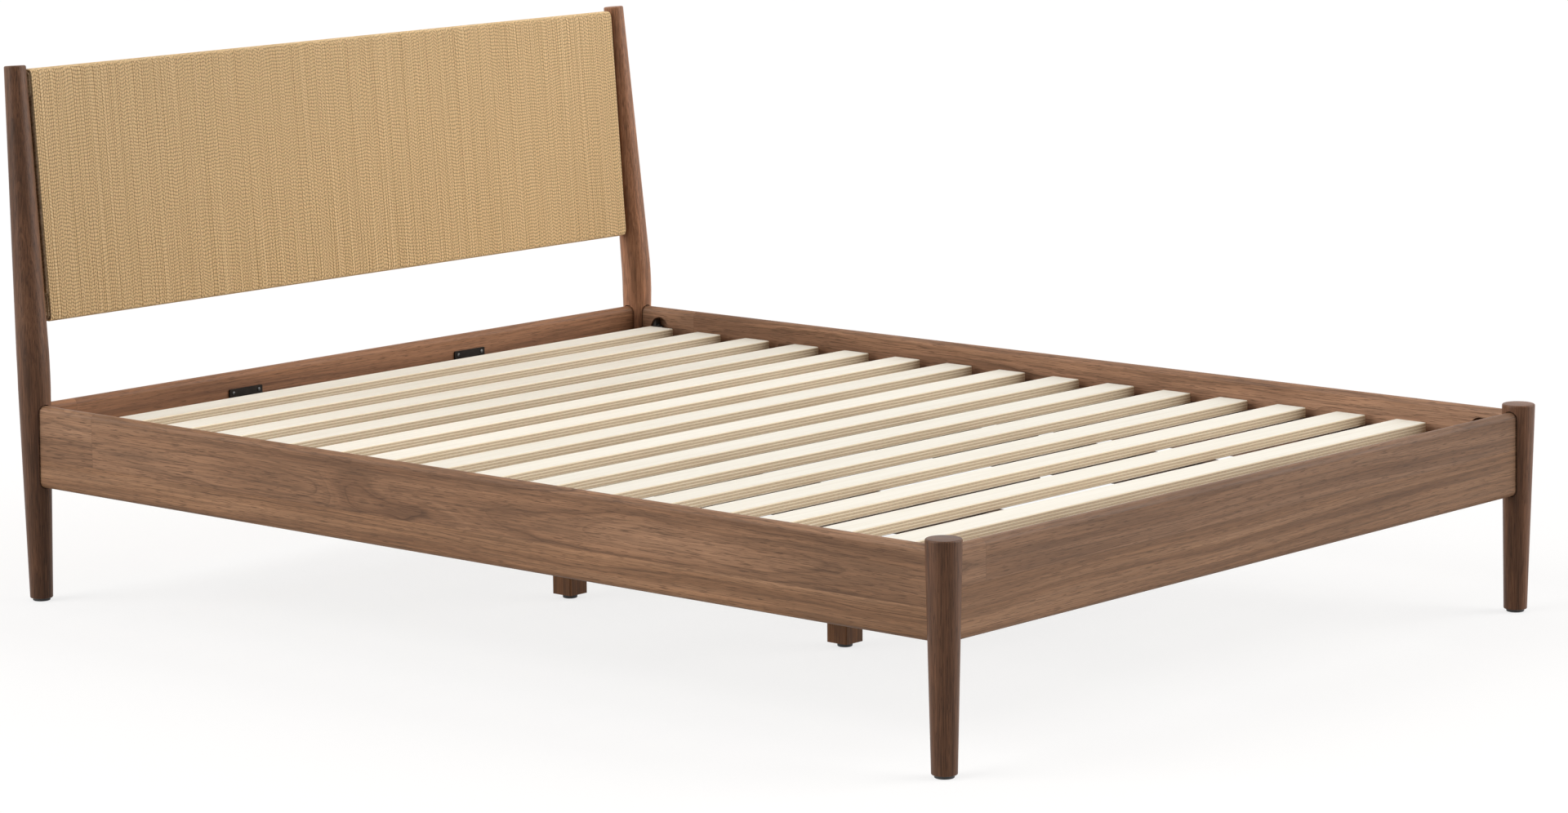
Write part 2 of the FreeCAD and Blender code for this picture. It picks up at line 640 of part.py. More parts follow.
def main():
    """Centre the footprint on the origin and write one file per piece."""
    os.makedirs("parts", exist_ok=True)
    nodes = build_nodes()
    front = nodes["foot_legs"].optimalBoundingBox().YMin
    back = nodes["head_posts"].optimalBoundingBox().YMax
    to_origin = FOOTWARD * ((front + back) / 2)
    for name, shape in nodes.items():
        shape.translate(to_origin)
        shape.exportStep(os.path.join("parts", name + ".step"))
        if not shape.isValid():
            print("not valid:", name)
    print(len(nodes), "pieces; foot-leg axis at Y", round(to_origin.y, 3))
    print("footprint length", round(back - front, 3))


main()
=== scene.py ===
# %% [markdown]
# # A low bed with a cord-wound headboard
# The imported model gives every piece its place, in metres, with the floor at zero, the foot end at
# -Y and the headboard at +Y. This lesson keeps that frame as it is and dresses it: turned walnut
# legs, soft-edged rails, plywood slats and a headboard wound with twisted paper cord.

# %% Load the frame
import math

import bmesh
import bpy
from mathutils import Matrix, Vector, noise


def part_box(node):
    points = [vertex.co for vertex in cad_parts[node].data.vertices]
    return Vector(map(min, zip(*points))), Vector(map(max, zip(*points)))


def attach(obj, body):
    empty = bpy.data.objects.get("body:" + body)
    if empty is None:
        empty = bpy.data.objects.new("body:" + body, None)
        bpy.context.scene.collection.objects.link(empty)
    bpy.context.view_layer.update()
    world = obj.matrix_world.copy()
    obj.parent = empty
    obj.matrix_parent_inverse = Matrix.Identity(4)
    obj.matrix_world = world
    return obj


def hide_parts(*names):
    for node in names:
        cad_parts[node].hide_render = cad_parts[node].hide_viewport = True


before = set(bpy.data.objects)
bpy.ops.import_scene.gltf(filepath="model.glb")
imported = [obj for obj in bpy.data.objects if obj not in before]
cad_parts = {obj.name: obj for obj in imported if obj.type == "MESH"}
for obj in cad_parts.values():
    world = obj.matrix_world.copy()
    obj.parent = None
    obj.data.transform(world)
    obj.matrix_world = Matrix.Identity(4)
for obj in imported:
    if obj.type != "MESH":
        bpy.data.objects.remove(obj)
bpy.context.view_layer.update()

# %% [markdown]
# ## Camera
# The picture was taken with a long lens from beyond the left foot corner, a little above the
# headboard. The camera's place and turn come from the bed's own straight edges, so they are
# written down as plain numbers. A camera without a turn looks straight down, so it is rolled a
# little, tilted up to almost level and then turned towards the bed.

# %% Camera at the photograph's viewing angle
CAMERA_PLACE = Vector((-6.1872, -5.5181, 1.7308))
CAMERA_YAW = math.radians(48.548)
CAMERA_PITCH = math.radians(9.451)
CAMERA_ROLL = math.radians(-0.520)
CAMERA_LENS = 110.92
CAMERA_REACH = 200.0


def add_object(name, data):
    """A new object in the scene, at the origin."""
    made = bpy.data.objects.new(name, data)
    bpy.context.scene.collection.objects.link(made)
    return made


camera_data = bpy.data.cameras.new("photo_camera")
camera_data.lens = CAMERA_LENS
camera_data.sensor_fit = "HORIZONTAL"
camera_data.clip_end = CAMERA_REACH
camera = add_object("photo_camera", camera_data)
yaw = Matrix.Rotation(-CAMERA_YAW, 4, "Z")
tilt = Matrix.Rotation(math.radians(90) - CAMERA_PITCH, 4, "X")
roll = Matrix.Rotation(CAMERA_ROLL, 4, "Z")
camera.matrix_world = Matrix.Translation(CAMERA_PLACE) @ yaw @ tilt @ roll
bpy.context.scene.camera = camera
bpy.context.scene.view_settings.view_transform = "Standard"
print("camera", round(CAMERA_PLACE.length, 2), "m from the middle of the floor")

# %% [markdown]
# ## Short calls for shader nodes
# A material is a small graph of nodes. Written out in full each node takes five lines, so a helper
# keeps the graphs readable: it makes a node, sets its options and fills each input with a number,
# a colour or a link. Steps that come back in several finishes get a short call of their own.


# %% Node helper
class Wires:
    """Short calls that add nodes to one shader tree."""

    def __init__(self, tree):
        self.tree = tree

    def node(self, kind, inputs=None, **settings):
        """A new node with its settings and inputs filled in."""
        made = self.tree.nodes.new("ShaderNode" + kind)
        for key, value in settings.items():
            setattr(made, key, value)
        self.fill(made.inputs, inputs or {})
        return made

    def fill(self, sockets, values):
        """Link each named socket, or set its plain value."""
        for key, value in values.items():
            if isinstance(value, bpy.types.NodeSocket):
                self.tree.links.new(value, sockets[key])
            else:
                sockets[key].default_value = value

    def math(self, operation, first, second=0.0, third=0.0):
        """One step of arithmetic."""
        inputs = {0: first, 1: second, 2: third}
        return self.node("Math", inputs, operation=operation).outputs[0]

    def times(self, first, second):
        """A product of two values."""
        return self.math("MULTIPLY", first, second)

    def times_add(self, first, second, third):
        """A product with a third value added."""
        return self.math("MULTIPLY_ADD", first, second, third)

    def vector(self, operation, first, second=(0.0, 0.0, 0.0), output=0):
        """One step of arithmetic on points."""
        inputs = {0: first, 1: second}
        return self.node("VectorMath", inputs, operation=operation).outputs[output]

    def stretch(self, point, scale):
        """A point scaled apart on each axis."""
        return self.vector("MULTIPLY", point, scale)

    def place(self):
        """The point in the piece's own axes."""
        return self.node("TexCoord").outputs["Object"]

    def axes(self, point):
        """The X, Y and Z of a point."""
        return self.node("SeparateXYZ", {0: point}).outputs

    def join(self, x, y, z=0.0):
        """A point from its X, Y and Z."""
        return self.node("CombineXYZ", {0: x, 1: y, 2: z}).outputs[0]

    def chance(self, number):
        """A steady random value and colour for each whole number."""
        return self.node("TexWhiteNoise", {"W": number}, noise_dimensions="1D").outputs

    def noise(self, point, scale, detail=2.0, rough=0.5, output=0):
        """Soft noise, from about 0 to 1, at a scale for each axis."""
        inputs = {"Vector": self.stretch(point, scale), "Scale": 1.0, "Detail": detail,
                  "Roughness": rough}
        return self.node("TexNoise", inputs).outputs[output]

    def fade(self, value, low, high, start=0.0, end=1.0):
        """A smooth step from start to end while the value goes from low to high."""
        inputs = {"Value": value, "From Min": low, "From Max": high, "To Min": start,
                  "To Max": end}
        return self.node("MapRange", inputs, interpolation_type="SMOOTHSTEP").outputs[0]

    def swing(self, value, low, high, amount):
        """A shade that goes an amount below and above 1 with the value."""
        return self.fade(value, low, high, 1.0 - amount, 1.0 + amount)

    def mix(self, factor, first, second, blend="MIX"):
        """A mix of two colours."""
        inputs = {0: factor, 6: first, 7: second}
        return self.node("Mix", inputs, data_type="RGBA", blend_type=blend).outputs[2]

    def shaded(self, colour, shade):
        """A colour made darker or lighter by a shade."""
        grey = self.node("CombineColor", {key: shade for key in range(3)}).outputs[0]
        return self.mix(1.0, colour, grey, "MULTIPLY")

    def ramp(self, value, places, colours):
        """A colour ramp with a colour at each place."""
        made = self.node("ValToRGB", {0: value})
        elements = made.color_ramp.elements
        while len(elements) < len(places):
            elements.new(1.0)
        for element, place, colour in zip(elements, places, colours):
            element.position = place
            element.color = (*colour, 1)
        return made.outputs[0]

    def dress(self, surface, colour, rough, height, strength, depth, shine):
        """Give a surface its colour, its roughness, its fine relief and its shine."""
        inputs = {"Height": height, "Strength": strength, "Distance": depth}
        relief = self.node("Bump", inputs).outputs[0]
        self.fill(surface.inputs, {"Base Color": colour, "Roughness": rough, "Normal": relief,
                                   "Specular IOR Level": shine})


print("node helper ready")

# %% New groups and materials
finish = {}


def node_group(name, inputs, outputs):
    """An empty shader group, its wires, and its input and output sockets.

    A socket named Vector holds a point, and every other socket holds a value.
    """
    tree = bpy.data.node_groups.new(name, "ShaderNodeTree")
    for way, sockets in (("INPUT", inputs), ("OUTPUT", outputs)):
        for socket in sockets:
            kind = "NodeSocketVector" if socket == "Vector" else "NodeSocketFloat"
            tree.interface.new_socket(name=socket, in_out=way, socket_type=kind)
    source = tree.nodes.new("NodeGroupInput")
    sink = tree.nodes.new("NodeGroupOutput")
    return tree, Wires(tree), source.outputs, sink.inputs


def new_material(name):
    """Make a finish, and return its wires and its own surface shader."""
    finish[name] = bpy.data.materials.new(name)
    finish[name].use_nodes = True
    tree = finish[name].node_tree
    return Wires(tree), tree.nodes["Principled BSDF"]


print("group and material helpers ready")

# %% [markdown]
# ## Floor, backdrop and light
# A white studio has light from everywhere and a floor that melts into the wall. Here the floor is
# one wide sheet that shows mostly white to the camera and keeps a share of real light, so the
# bed's soft shadow stays. It throws less light back up than it shows, which keeps the underside of
# the bed dark. Soft lamps from both sides, and a black flag in front, leave the middle of each
# round leg darker than its flanks.

# %% Floor
FLOOR_SIZE = 90.0
FLOOR_SEEN = (0.96, 0.93, 0.90, 1)
FLOOR_BOUNCE = (0.40, 0.39, 0.38, 1)
FLOOR_GLOW_SHARE = 0.76
WHITE = (1, 1, 1, 1)


def seen_directly(wires):
    """1 for rays from the camera or by way of a mirror or glass, else 0."""
    path = wires.node("LightPath").outputs
    seen = wires.math("MAXIMUM", path["Is Camera Ray"], path["Is Glossy Ray"])
    return wires.math("MAXIMUM", seen, path["Is Transmission Ray"])


floor_mesh = bpy.data.meshes.new("studio_floor")
floor_bm = bmesh.new()
bmesh.ops.create_grid(floor_bm, x_segments=1, y_segments=1, size=FLOOR_SIZE / 2)
floor_bm.to_mesh(floor_mesh)
floor_bm.free()
studio_floor = add_object("studio_floor", floor_mesh)

wires, surface = new_material("studio_white")
seen = seen_directly(wires)
matt = wires.node("BsdfDiffuse", {"Color": wires.mix(seen, FLOOR_BOUNCE, FLOOR_SEEN)})
glow = wires.node("Emission", {"Color": WHITE, "Strength": 1.0})
glow_share = wires.times(seen, FLOOR_GLOW_SHARE)
blended = wires.node("MixShader", {0: glow_share, 1: matt.outputs[0], 2: glow.outputs[0]})
wires.fill(wires.tree.nodes["Material Output"].inputs, {"Surface": blended.outputs[0]})
wires.tree.nodes.remove(surface)
floor_mesh.materials.append(finish["studio_white"])
print("floor", FLOOR_SIZE, "m wide")

# %% World and lamps
AMBIENT = 0.43
FLAG_SIDE = (-0.749, -0.662, 0.0)
FLAG_DEPTH = 0.94
FLAG_EDGE = 0.80
LAMPS = {
    "left_softbox": {"from": (-0.82, 0.44, 0.45), "power": 2.30, "spread": 50},
    "right_softbox": {"from": (0.68, -0.72, 0.40), "power": 2.35, "spread": 50},
    "top_softbox": {"from": (0.10, 0.15, 1.0), "power": 0.75, "spread": 80},
}

world = bpy.data.worlds.new("studio")
world.use_nodes = True
wires = Wires(world.node_tree)
towards = wires.node("TexCoord").outputs["Generated"]
facing = wires.vector("DOT_PRODUCT", towards, FLAG_SIDE, output="Value")
flagged = wires.fade(facing, 0.0, FLAG_EDGE, AMBIENT, AMBIENT * (1 - FLAG_DEPTH))
strength = wires.math("MAXIMUM", flagged, seen_directly(wires))
wires.fill(wires.tree.nodes["Background"].inputs, {"Color": WHITE, "Strength": strength})
bpy.context.scene.world = world
for name, lamp in LAMPS.items():
    light = bpy.data.lights.new(name, "SUN")
    light.energy = lamp["power"]
    light.angle = math.radians(lamp["spread"])
    holder = add_object(name, light)
    holder.rotation_euler = Vector(lamp["from"]).to_track_quat("Z", "Y").to_euler()
print("lamps", sorted(LAMPS))

# %% [markdown]
# ## Wood figure
# A board shows the tree's yearly rings as the saw cut them. The rings are tubes round the heart of
# the tree, so a point's ring number is its distance from a heart line beside the board, over the
# width of a year. Near that line the face meets the rings almost flat, and slow noise along the
# grain bends them into the long arches that sawyers call cathedrals. Further off the rings are cut
# steeply and turn into straight, close lines. Bands and streaks are laid along the same ring
# number, and the fibres bend a little with it, so all flow together. Each noise has its waves per
# metre along, across and through the board, its detail and, where it differs from a half, its
# roughness.

# %% Ring figure of a board
SLOW_SWAY = ((1.2, 4.0, 4.0), 1.0)
LIVELY_SWAY = ((7.5, 17.0, 17.0), 2.0)
PATCHES = ((3.0, 9.0, 9.0), 1.0)
BANDS = ((1.1, 0.34, 6.0), 2.0, 0.55)
STREAKS = ((4.2, 1.3, 18.0), 3.0, 0.62)
FIBRES = ((5.0, 480.0, 480.0), 3.0, 0.70)
PORES = ((34.0, 760.0, 760.0), 1.0)
LATE_WOOD = (0.66, 1.0)
LATE_SHARPNESS = 2.0
PATCH_FADE = (0.30, 0.66, 0.25, 1.0)
YEAR_FADE = (0.0, 1.0, 0.15, 1.0)
PORE_EDGE = (0.58, 0.65)
FIBRE_BEND = 0.0009

board_figure, wires, given, result = node_group(
    "board_figure",
    ("Vector", "Across", "Heart Depth", "Ring Rate", "Sway", "Wobble", "Extra Rings"),
    ("Rings", "Bands", "Streaks", "Fibres", "Pores"),
)
point = given["Vector"]
along, across, through = wires.axes(point)
spoke = wires.join(given["Across"], given["Heart Depth"])
rings = wires.times(wires.vector("LENGTH", spoke, output="Value"), given["Ring Rate"])
rings = wires.times_add(wires.noise(point, *SLOW_SWAY), given["Sway"], rings)
rings = wires.times_add(wires.noise(point, *LIVELY_SWAY), given["Wobble"], rings)
rings = wires.math("ADD", rings, given["Extra Rings"])
late_wood = wires.fade(wires.math("FRACT", rings), *LATE_WOOD)
late_wood = wires.math("POWER", late_wood, LATE_SHARPNESS)
late_wood = wires.times(late_wood, wires.fade(wires.noise(point, *PATCHES), *PATCH_FADE))
year = wires.chance(wires.math("FLOOR", rings))["Value"]
flow = wires.join(along, rings, through)
lengthwise = wires.join(along, wires.times_add(rings, FIBRE_BEND, across), through)
wires.fill(result, {
    "Rings": wires.times(late_wood, wires.fade(year, *YEAR_FADE)),
    "Bands": wires.noise(flow, *BANDS),
    "Streaks": wires.noise(flow, *STREAKS),
    "Fibres": wires.noise(lengthwise, *FIBRES),
    "Pores": wires.fade(wires.noise(lengthwise, *PORES), *PORE_EDGE),
})
print("wood group:", board_figure.name)

# %% Glued staves
UPPER_MARK = 17.3
END_MARK = 7.1
FAR_MARK = 5.7
STAVE_SHIFT = (9.0, 3.0, 3.0)
END_HEART_RISE = 0.04
END_TINT = -1.8

stave_joints, wires, given, result = node_group(
    "stave_joints",
    ("Vector", "Seam Height", "Joint Place", "Seam Width", "Low Heart", "High Heart"),
    ("Vector", "Heart", "Upper", "Tint", "Seam"),
)
along, across, through = wires.axes(given["Vector"])
above_seam = wires.math("SUBTRACT", across, given["Seam Height"])
upper = wires.math("GREATER_THAN", above_seam, 0.0)
past_joint = wires.math("SUBTRACT", along, given["Joint Place"])
end_piece = wires.times(upper, wires.math("GREATER_THAN", past_joint, 0.0))
stave = wires.times_add(upper, UPPER_MARK, wires.times(end_piece, END_MARK))
far = wires.math("GREATER_THAN", through, 0.0)
chance = wires.chance(wires.times_add(far, FAR_MARK, stave))
offset = wires.stretch(chance["Color"], STAVE_SHIFT)
climb = wires.math("SUBTRACT", given["High Heart"], given["Low Heart"])
heart = wires.times_add(upper, climb, given["Low Heart"])
lower = wires.math("SUBTRACT", 1.0, upper)
from_joint = wires.math("ADD", wires.math("ABSOLUTE", past_joint), lower)
nearest = wires.math("MINIMUM", wires.math("ABSOLUTE", above_seam), from_joint)
wires.fill(result, {
    "Vector": wires.vector("ADD", given["Vector"], offset),
    "Heart": wires.times_add(end_piece, END_HEART_RISE, heart),
    "Upper": upper,
    "Tint": wires.times_add(end_piece, END_TINT, chance["Value"]),
    "Seam": wires.math("LESS_THAN", nearest, given["Seam Width"]),
})
print("stave group:", stave_joints.name)

# %% [markdown]
# ## Wood materials
# A board gets a light, a middle and a dark tone, ring lines, long fine fibres and short dark
# pores. A knot close under the surface pushes the rings outwards, so a few hills of extra rings
# stand for the knots. The pores are also a little hollow, which breaks up the gloss at close
# range.

# %% Knots
KNOT_WAVES = (7.0, 26.0, 26.0)
KNOT_SWAY = 0.7
KNOT_EDGE = 1.7


def knot_rings(wires, point, knots):
    """Extra rings round knots, each given as its place, its reach and its number of rings."""
    sway = wires.noise(point, KNOT_WAVES, 1.0, output="Color")
    sway = wires.stretch(wires.vector("SUBTRACT", sway, (0.5, 0.5, 0.5)), (KNOT_SWAY,) * 3)
    total = 0.0
    for place, reach, count in knots:
        away = wires.vector("SUBTRACT", point, place)
        away = wires.stretch(away, tuple(1 / size for size in reach))
        distance = wires.vector("LENGTH", wires.vector("ADD", away, sway), output="Value")
        total = wires.math("ADD", wires.fade(distance, 0.0, KNOT_EDGE, count, 0.0), total)
    return total


print("knots pull rings over", KNOT_EDGE, "times their reach")

# %% Wood
MM = 0.001
RING_LEAN = 0.45
BAND_PLACES = (0.25, 0.50, 0.75)
STREAK_SPAN = (0.28, 0.72)
FIBRE_SPAN = (0.25, 0.75)
ROUGH_SPAN = (0.2, 0.8)
LINE_SHADE = 0.50
PORE_SHADE = 0.45
SEAM_SHADE = 0.4
LOW_STAVE_TINT = (1.03, 1.02, 0.98, 1)
WOOD_RELIEF = (0.30, 0.12 * MM)


def wood(name, order, tones, figure, depth, staves=None, face=None, knots=(), dark_end=None,
         gloss=(0.48, 0.64), shine=0.22):
    """A solid wood material. Order names the axes along, across and through the board.

    Face gives the middle plane between two boards that face away from each other, and their
    distance from it. Dark end gives the two places along the board between which it pales, and
    the shade at the first.
    """
    wires, surface = new_material(name)
    split = wires.axes(wires.place())
    along, across, through = [split[axis] for axis in order]
    point = wires.join(along, across, through)
    if face:
        through = wires.math("ABSOLUTE", wires.math("SUBTRACT", through, face[0]))
        through = wires.math("SUBTRACT", through, face[1])
    across = wires.times_add(through, RING_LEAN, across)
    inputs = dict(figure)
    if knots:
        inputs["Extra Rings"] = knot_rings(wires, point, knots)
    if staves:
        joints = wires.node("Group", dict(staves, Vector=point), node_tree=stave_joints).outputs
        point = joints["Vector"]
        across = wires.math("SUBTRACT", across, joints["Heart"])
    inputs.update(Vector=point, Across=across)
    grain = wires.node("Group", inputs, node_tree=board_figure).outputs
    light, middle, dark = tones
    line_tone = (*(LINE_SHADE * part for part in dark), 1)
    pore_tone = (*(PORE_SHADE * part for part in dark), 1)
    colour = wires.ramp(grain["Bands"], BAND_PLACES, (dark, middle, light))
    colour = wires.mix(wires.times(grain["Rings"], depth["rings"]), colour, line_tone)
    shade = wires.swing(grain["Streaks"], *STREAK_SPAN, depth["streaks"])
    shade = wires.times(shade, wires.swing(grain["Fibres"], *FIBRE_SPAN, depth["fibres"]))
    if dark_end:
        shade = wires.times(shade, wires.fade(along, *dark_end, 1.0))
    if staves:
        tint = wires.times_add(joints["Tint"], 2 * depth["tint"], 1.0 - depth["tint"])
        shade = wires.times(shade, tint)
    colour = wires.shaded(colour, shade)
    colour = wires.mix(wires.times(grain["Pores"], depth["pores"]), colour, pore_tone)
    if staves:
        stock = wires.mix(joints["Upper"], LOW_STAVE_TINT, WHITE)
        colour = wires.mix(1.0, colour, stock, "MULTIPLY")
        colour = wires.mix(wires.times(joints["Seam"], SEAM_SHADE), colour, pore_tone)
    rough = wires.fade(grain["Fibres"], *ROUGH_SPAN, *gloss)
    hollow = wires.times_add(grain["Pores"], -1.0, grain["Fibres"])
    wires.dress(surface, colour, rough, hollow, *WOOD_RELIEF, shine)


def scaled_tones(tones, stock):
    """The tones with each colour part scaled, by a piece's own stock and by any painted light or
    shade.
    """
    return [tuple(part * scale for part, scale in zip(tone, stock)) for tone in tones]


print("wood material ready")

# %% [markdown]
# ## Walnut
# The rails are mid-brown walnut, glued up from long staves, with a satin oil finish. A pair of
# rails is cut from the same figure, which is mirrored so that both outer faces show it. The turned
# legs are the same wood from darker stock. The right side rail, the head rail, the right foot leg
# and most of all the right head post are made lighter, and the head rail redder: painted light, for
# the light that reaches them less. The hidden supports are plain stained bars, and the ledgers
# beside the slat ends are darkened almost to black as painted shade.

# %% Places of the rails
side_low, side_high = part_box("side_rail_left")
LEG_X = -(side_low.x + side_high.x) / 2
FOOT_Y = sum(corner.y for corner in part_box("foot_rail")) / 2
HEAD_Y = sum(corner.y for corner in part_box("head_rail")) / 2
print("leg axes", round(2 * LEG_X, 3), "m by", round(HEAD_Y - FOOT_Y, 3), "m")

# %% Rail walnut
RAIL_TONES = ((0.378, 0.215, 0.126), (0.266, 0.143, 0.079), (0.157, 0.079, 0.042))
SEAM_WIDTH = 0.35 * MM
LONG_BOARD = {
    "order": "YZX",
    "figure": {"Heart Depth": 0.045, "Ring Rate": 130.0, "Sway": 9.0, "Wobble": 1.5},
    "depth": {"rings": 0.88, "streaks": 0.15, "fibres": 0.30, "pores": 0.64, "tint": 0.03},
    "staves": {"Seam Height": 0.2570, "Joint Place": 0.857, "Seam Width": SEAM_WIDTH,
               "Low Heart": 0.100, "High Heart": 0.296},
    "face": (0.0, LEG_X),
    "knots": (((0.205, 0.293, -0.786), (0.075, 0.024, 0.08), 3.0),
              ((0.075, 0.277, -0.786), (0.13, 0.020, 0.08), 2.4)),
    "dark_end": (-1.05, -0.30, 0.78),
}
CROSS_BOARD = {
    "order": "XZY",
    "figure": {"Heart Depth": 0.030, "Ring Rate": 180.0, "Sway": 10.0, "Wobble": 1.2},
    "depth": {"rings": 0.70, "streaks": 0.10, "fibres": 0.22, "pores": 0.56, "tint": 0.03},
    "staves": {"Seam Height": 0.2870, "Joint Place": -0.689, "Seam Width": SEAM_WIDTH,
               "Low Heart": 0.130, "High Heart": 0.322},
    "face": ((HEAD_Y + FOOT_Y) / 2, (HEAD_Y - FOOT_Y) / 2),
}
# The right side rail is made lighter, and the head rail redder and lighter: painted light, for the
# light that their faces get less of.
RAIL_STOCK_AND_PAINTED_LIGHT = {
    "left": (LONG_BOARD, (1.0, 0.98, 0.96)), "right": (LONG_BOARD, (1.22, 1.22, 1.26)),
    "foot": (CROSS_BOARD, (0.87, 0.87, 0.88)), "head": (CROSS_BOARD, (1.12, 0.96, 0.84)),
}
for name, (board, stock) in RAIL_STOCK_AND_PAINTED_LIGHT.items():
    wood("rail_walnut_" + name, tones=scaled_tones(RAIL_TONES, stock), **board)
print("rail finishes:", sorted(RAIL_STOCK_AND_PAINTED_LIGHT))

# %% Leg walnut and hidden woods
LEG_TONES = ((0.152, 0.073, 0.039), (0.110, 0.051, 0.027), (0.072, 0.033, 0.017))
DARK_TONES = ((0.120, 0.072, 0.046), (0.090, 0.052, 0.033), (0.060, 0.034, 0.022))
PALE_TONES = ((0.62, 0.46, 0.30), (0.52, 0.37, 0.23), (0.38, 0.26, 0.15))
LEG_FIGURE = {"Heart Depth": 0.05, "Ring Rate": 120.0, "Sway": 8.0, "Wobble": 1.2}
LEG_DEPTH = {"rings": 0.58, "streaks": 0.22, "fibres": 0.40, "pores": 0.56}
LEG_GLOSS = (0.36, 0.50)
LEG_SHINE = 0.19
# The right foot leg, and most of all the right head post, are made lighter: painted light, for the
# light that reaches their faces less.
LEG_STOCK_AND_PAINTED_LIGHT = {"leg_foot_left": 0.95, "leg_foot_right": 1.50, "post_head_left": 1.02,
             "post_head_right": 3.2}
# The ledgers are darkened almost to black: painted shade, for the shadow in the gaps between the
# slat ends and the side rails.
LEDGER_PAINTED_SHADE = (0.7, 0.7, 0.7)
UPRIGHT_STOCK = (1.50, 1.42, 1.15)
HIDDEN_WOODS = {
    "ledger_walnut": ("YZX", scaled_tones(LEG_TONES, LEDGER_PAINTED_SHADE)),
    "support_wood_long": ("YZX", DARK_TONES),
    "support_wood_cross": ("XZY", DARK_TONES),
    "support_wood_upright": ("ZXY", scaled_tones(LEG_TONES, UPRIGHT_STOCK)),
    "inner_wood": ("XZY", PALE_TONES),
}
for name, scale in LEG_STOCK_AND_PAINTED_LIGHT.items():
    tones = scaled_tones(LEG_TONES, (scale, scale, scale))
    wood("walnut_" + name, "ZXY", tones, LEG_FIGURE, LEG_DEPTH, gloss=LEG_GLOSS, shine=LEG_SHINE)
for name, (order, tones) in HIDDEN_WOODS.items():
    wood(name, order, tones, LEG_FIGURE, LEG_DEPTH)
print("leg finishes:", len(LEG_STOCK_AND_PAINTED_LIGHT), "hidden woods:", len(HIDDEN_WOODS))

# %% [markdown]
# ## Plywood
# The slats are sawn from plywood. Their broad faces are a pale, almost white veneer, and their
# edges show the stack of thin plies, every second one end grain, with dark glue lines between.
# Height alone tells the plies apart, so the pattern reads the height of a point over the slat's
# underside. Each slat is a little lighter or darker than the next.

# %% Plywood material
slat_low, slat_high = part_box("slat_08")
SLAT_BOTTOM = slat_low.z
SLAT_THICKNESS = slat_high.z - slat_low.z
SLAT_PITCH = slat_low.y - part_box("slat_09")[0].y
SLAT_BATCH = (0.0, 1.0, 0.955, 1.03)
PLIES = 7
PLY_WANDER = 0.5
PLY_WAVES = ((7.0, 60.0, 60.0), 2.0)
END_GRAIN = ((260.0, 260.0, 900.0), 2.0, 0.6)
END_TONES = ((0.60, 0.440, 0.280), (0.80, 0.620, 0.415))
SIDE_GRAIN = ((8.0, 300.0, 500.0), 3.0, 0.6)
SIDE_TONES = ((0.84, 0.690, 0.480), (0.97, 0.840, 0.640))
PLY_PLACES = (0.30, 0.70)
GLUE_SHARE = 0.14
GLUE_SHADE = 0.60
GLUE_TONE = (0.22, 0.140, 0.08, 1)
GLUE_HOLLOW = -0.6
VENEER = 0.25 * MM
VENEER_GRAIN = ((3.0, 110.0, 110.0), 4.0, 0.6)
VENEER_PLACES = (0.28, 0.50, 0.75)
VENEER_TONES = ((0.775, 0.715, 0.605), (0.825, 0.775, 0.675), (0.855, 0.815, 0.725))
VENEER_GLOSS = (0.50, 0.66)
PLYWOOD_RELIEF = (0.3, 0.15 * MM)
PLYWOOD_SHINE = 0.3


def plywood(name):
    """Pale veneer on the faces and a stack of plies on the edges."""
    wires, surface = new_material(name)
    place = wires.place()
    split = wires.axes(place)
    height = wires.math("SUBTRACT", split["Z"], SLAT_BOTTOM)
    ply = wires.times(height, PLIES / SLAT_THICKNESS)
    wander = wires.times_add(wires.noise(place, *PLY_WAVES), PLY_WANDER, -PLY_WANDER / 2)
    ply = wires.math("ADD", ply, wander)
    glue = wires.math("LESS_THAN", wires.math("FRACT", ply), GLUE_SHARE)
    odd = wires.math("FRACT", wires.times(wires.math("FLOOR", ply), 0.5))
    end_tone = wires.ramp(wires.noise(place, *END_GRAIN), PLY_PLACES, END_TONES)
    side_tone = wires.ramp(wires.noise(place, *SIDE_GRAIN), PLY_PLACES, SIDE_TONES)
    edge = wires.mix(wires.times(odd, 2.0), side_tone, end_tone)
    edge = wires.mix(wires.times(glue, GLUE_SHADE), edge, GLUE_TONE)
    veneer = wires.noise(place, *VENEER_GRAIN)
    face = wires.ramp(veneer, VENEER_PLACES, VENEER_TONES)
    top = wires.math("GREATER_THAN", height, SLAT_THICKNESS - VENEER)
    under = wires.math("LESS_THAN", height, VENEER)
    colour = wires.mix(wires.math("MAXIMUM", top, under), edge, face)
    row = wires.math("FLOOR", wires.times(split["Y"], 1 / SLAT_PITCH))
    colour = wires.shaded(colour, wires.fade(wires.chance(row)["Value"], *SLAT_BATCH))
    rough = wires.fade(veneer, *ROUGH_SPAN, *VENEER_GLOSS)
    relief = wires.math("ADD", veneer, wires.times(glue, GLUE_HOLLOW))
    wires.dress(surface, colour, rough, relief, *PLYWOOD_RELIEF, PLYWOOD_SHINE)


plywood("slat_plywood")
print("plywood with", PLIES, "plies of", round(SLAT_THICKNESS / PLIES / MM, 2), "mm")

# %% [markdown]
# ## Steel and plastic
# The beam hangers are folded steel with a dark matt paint, the sleeves of the screw feet are zinc
# plated, the screws, nuts and studs are a dark, dull zinc, and the feet are black moulded plastic.
# That zinc is darkened partly as painted shade, for the nuts and washers deep in the rails'
# pockets.
# Each has a little uneven tone and a fine bump, as no real surface is perfectly even.

# %% Steel and plastic materials
CLOUD_SHARE = 0.08
CLOUD_DETAIL = 3.0
CLOUD_PLACES = (0.3, 0.7)
MOTTLE_SPAN = (0.25, 0.75)
MOTTLE_STRENGTH = 0.25
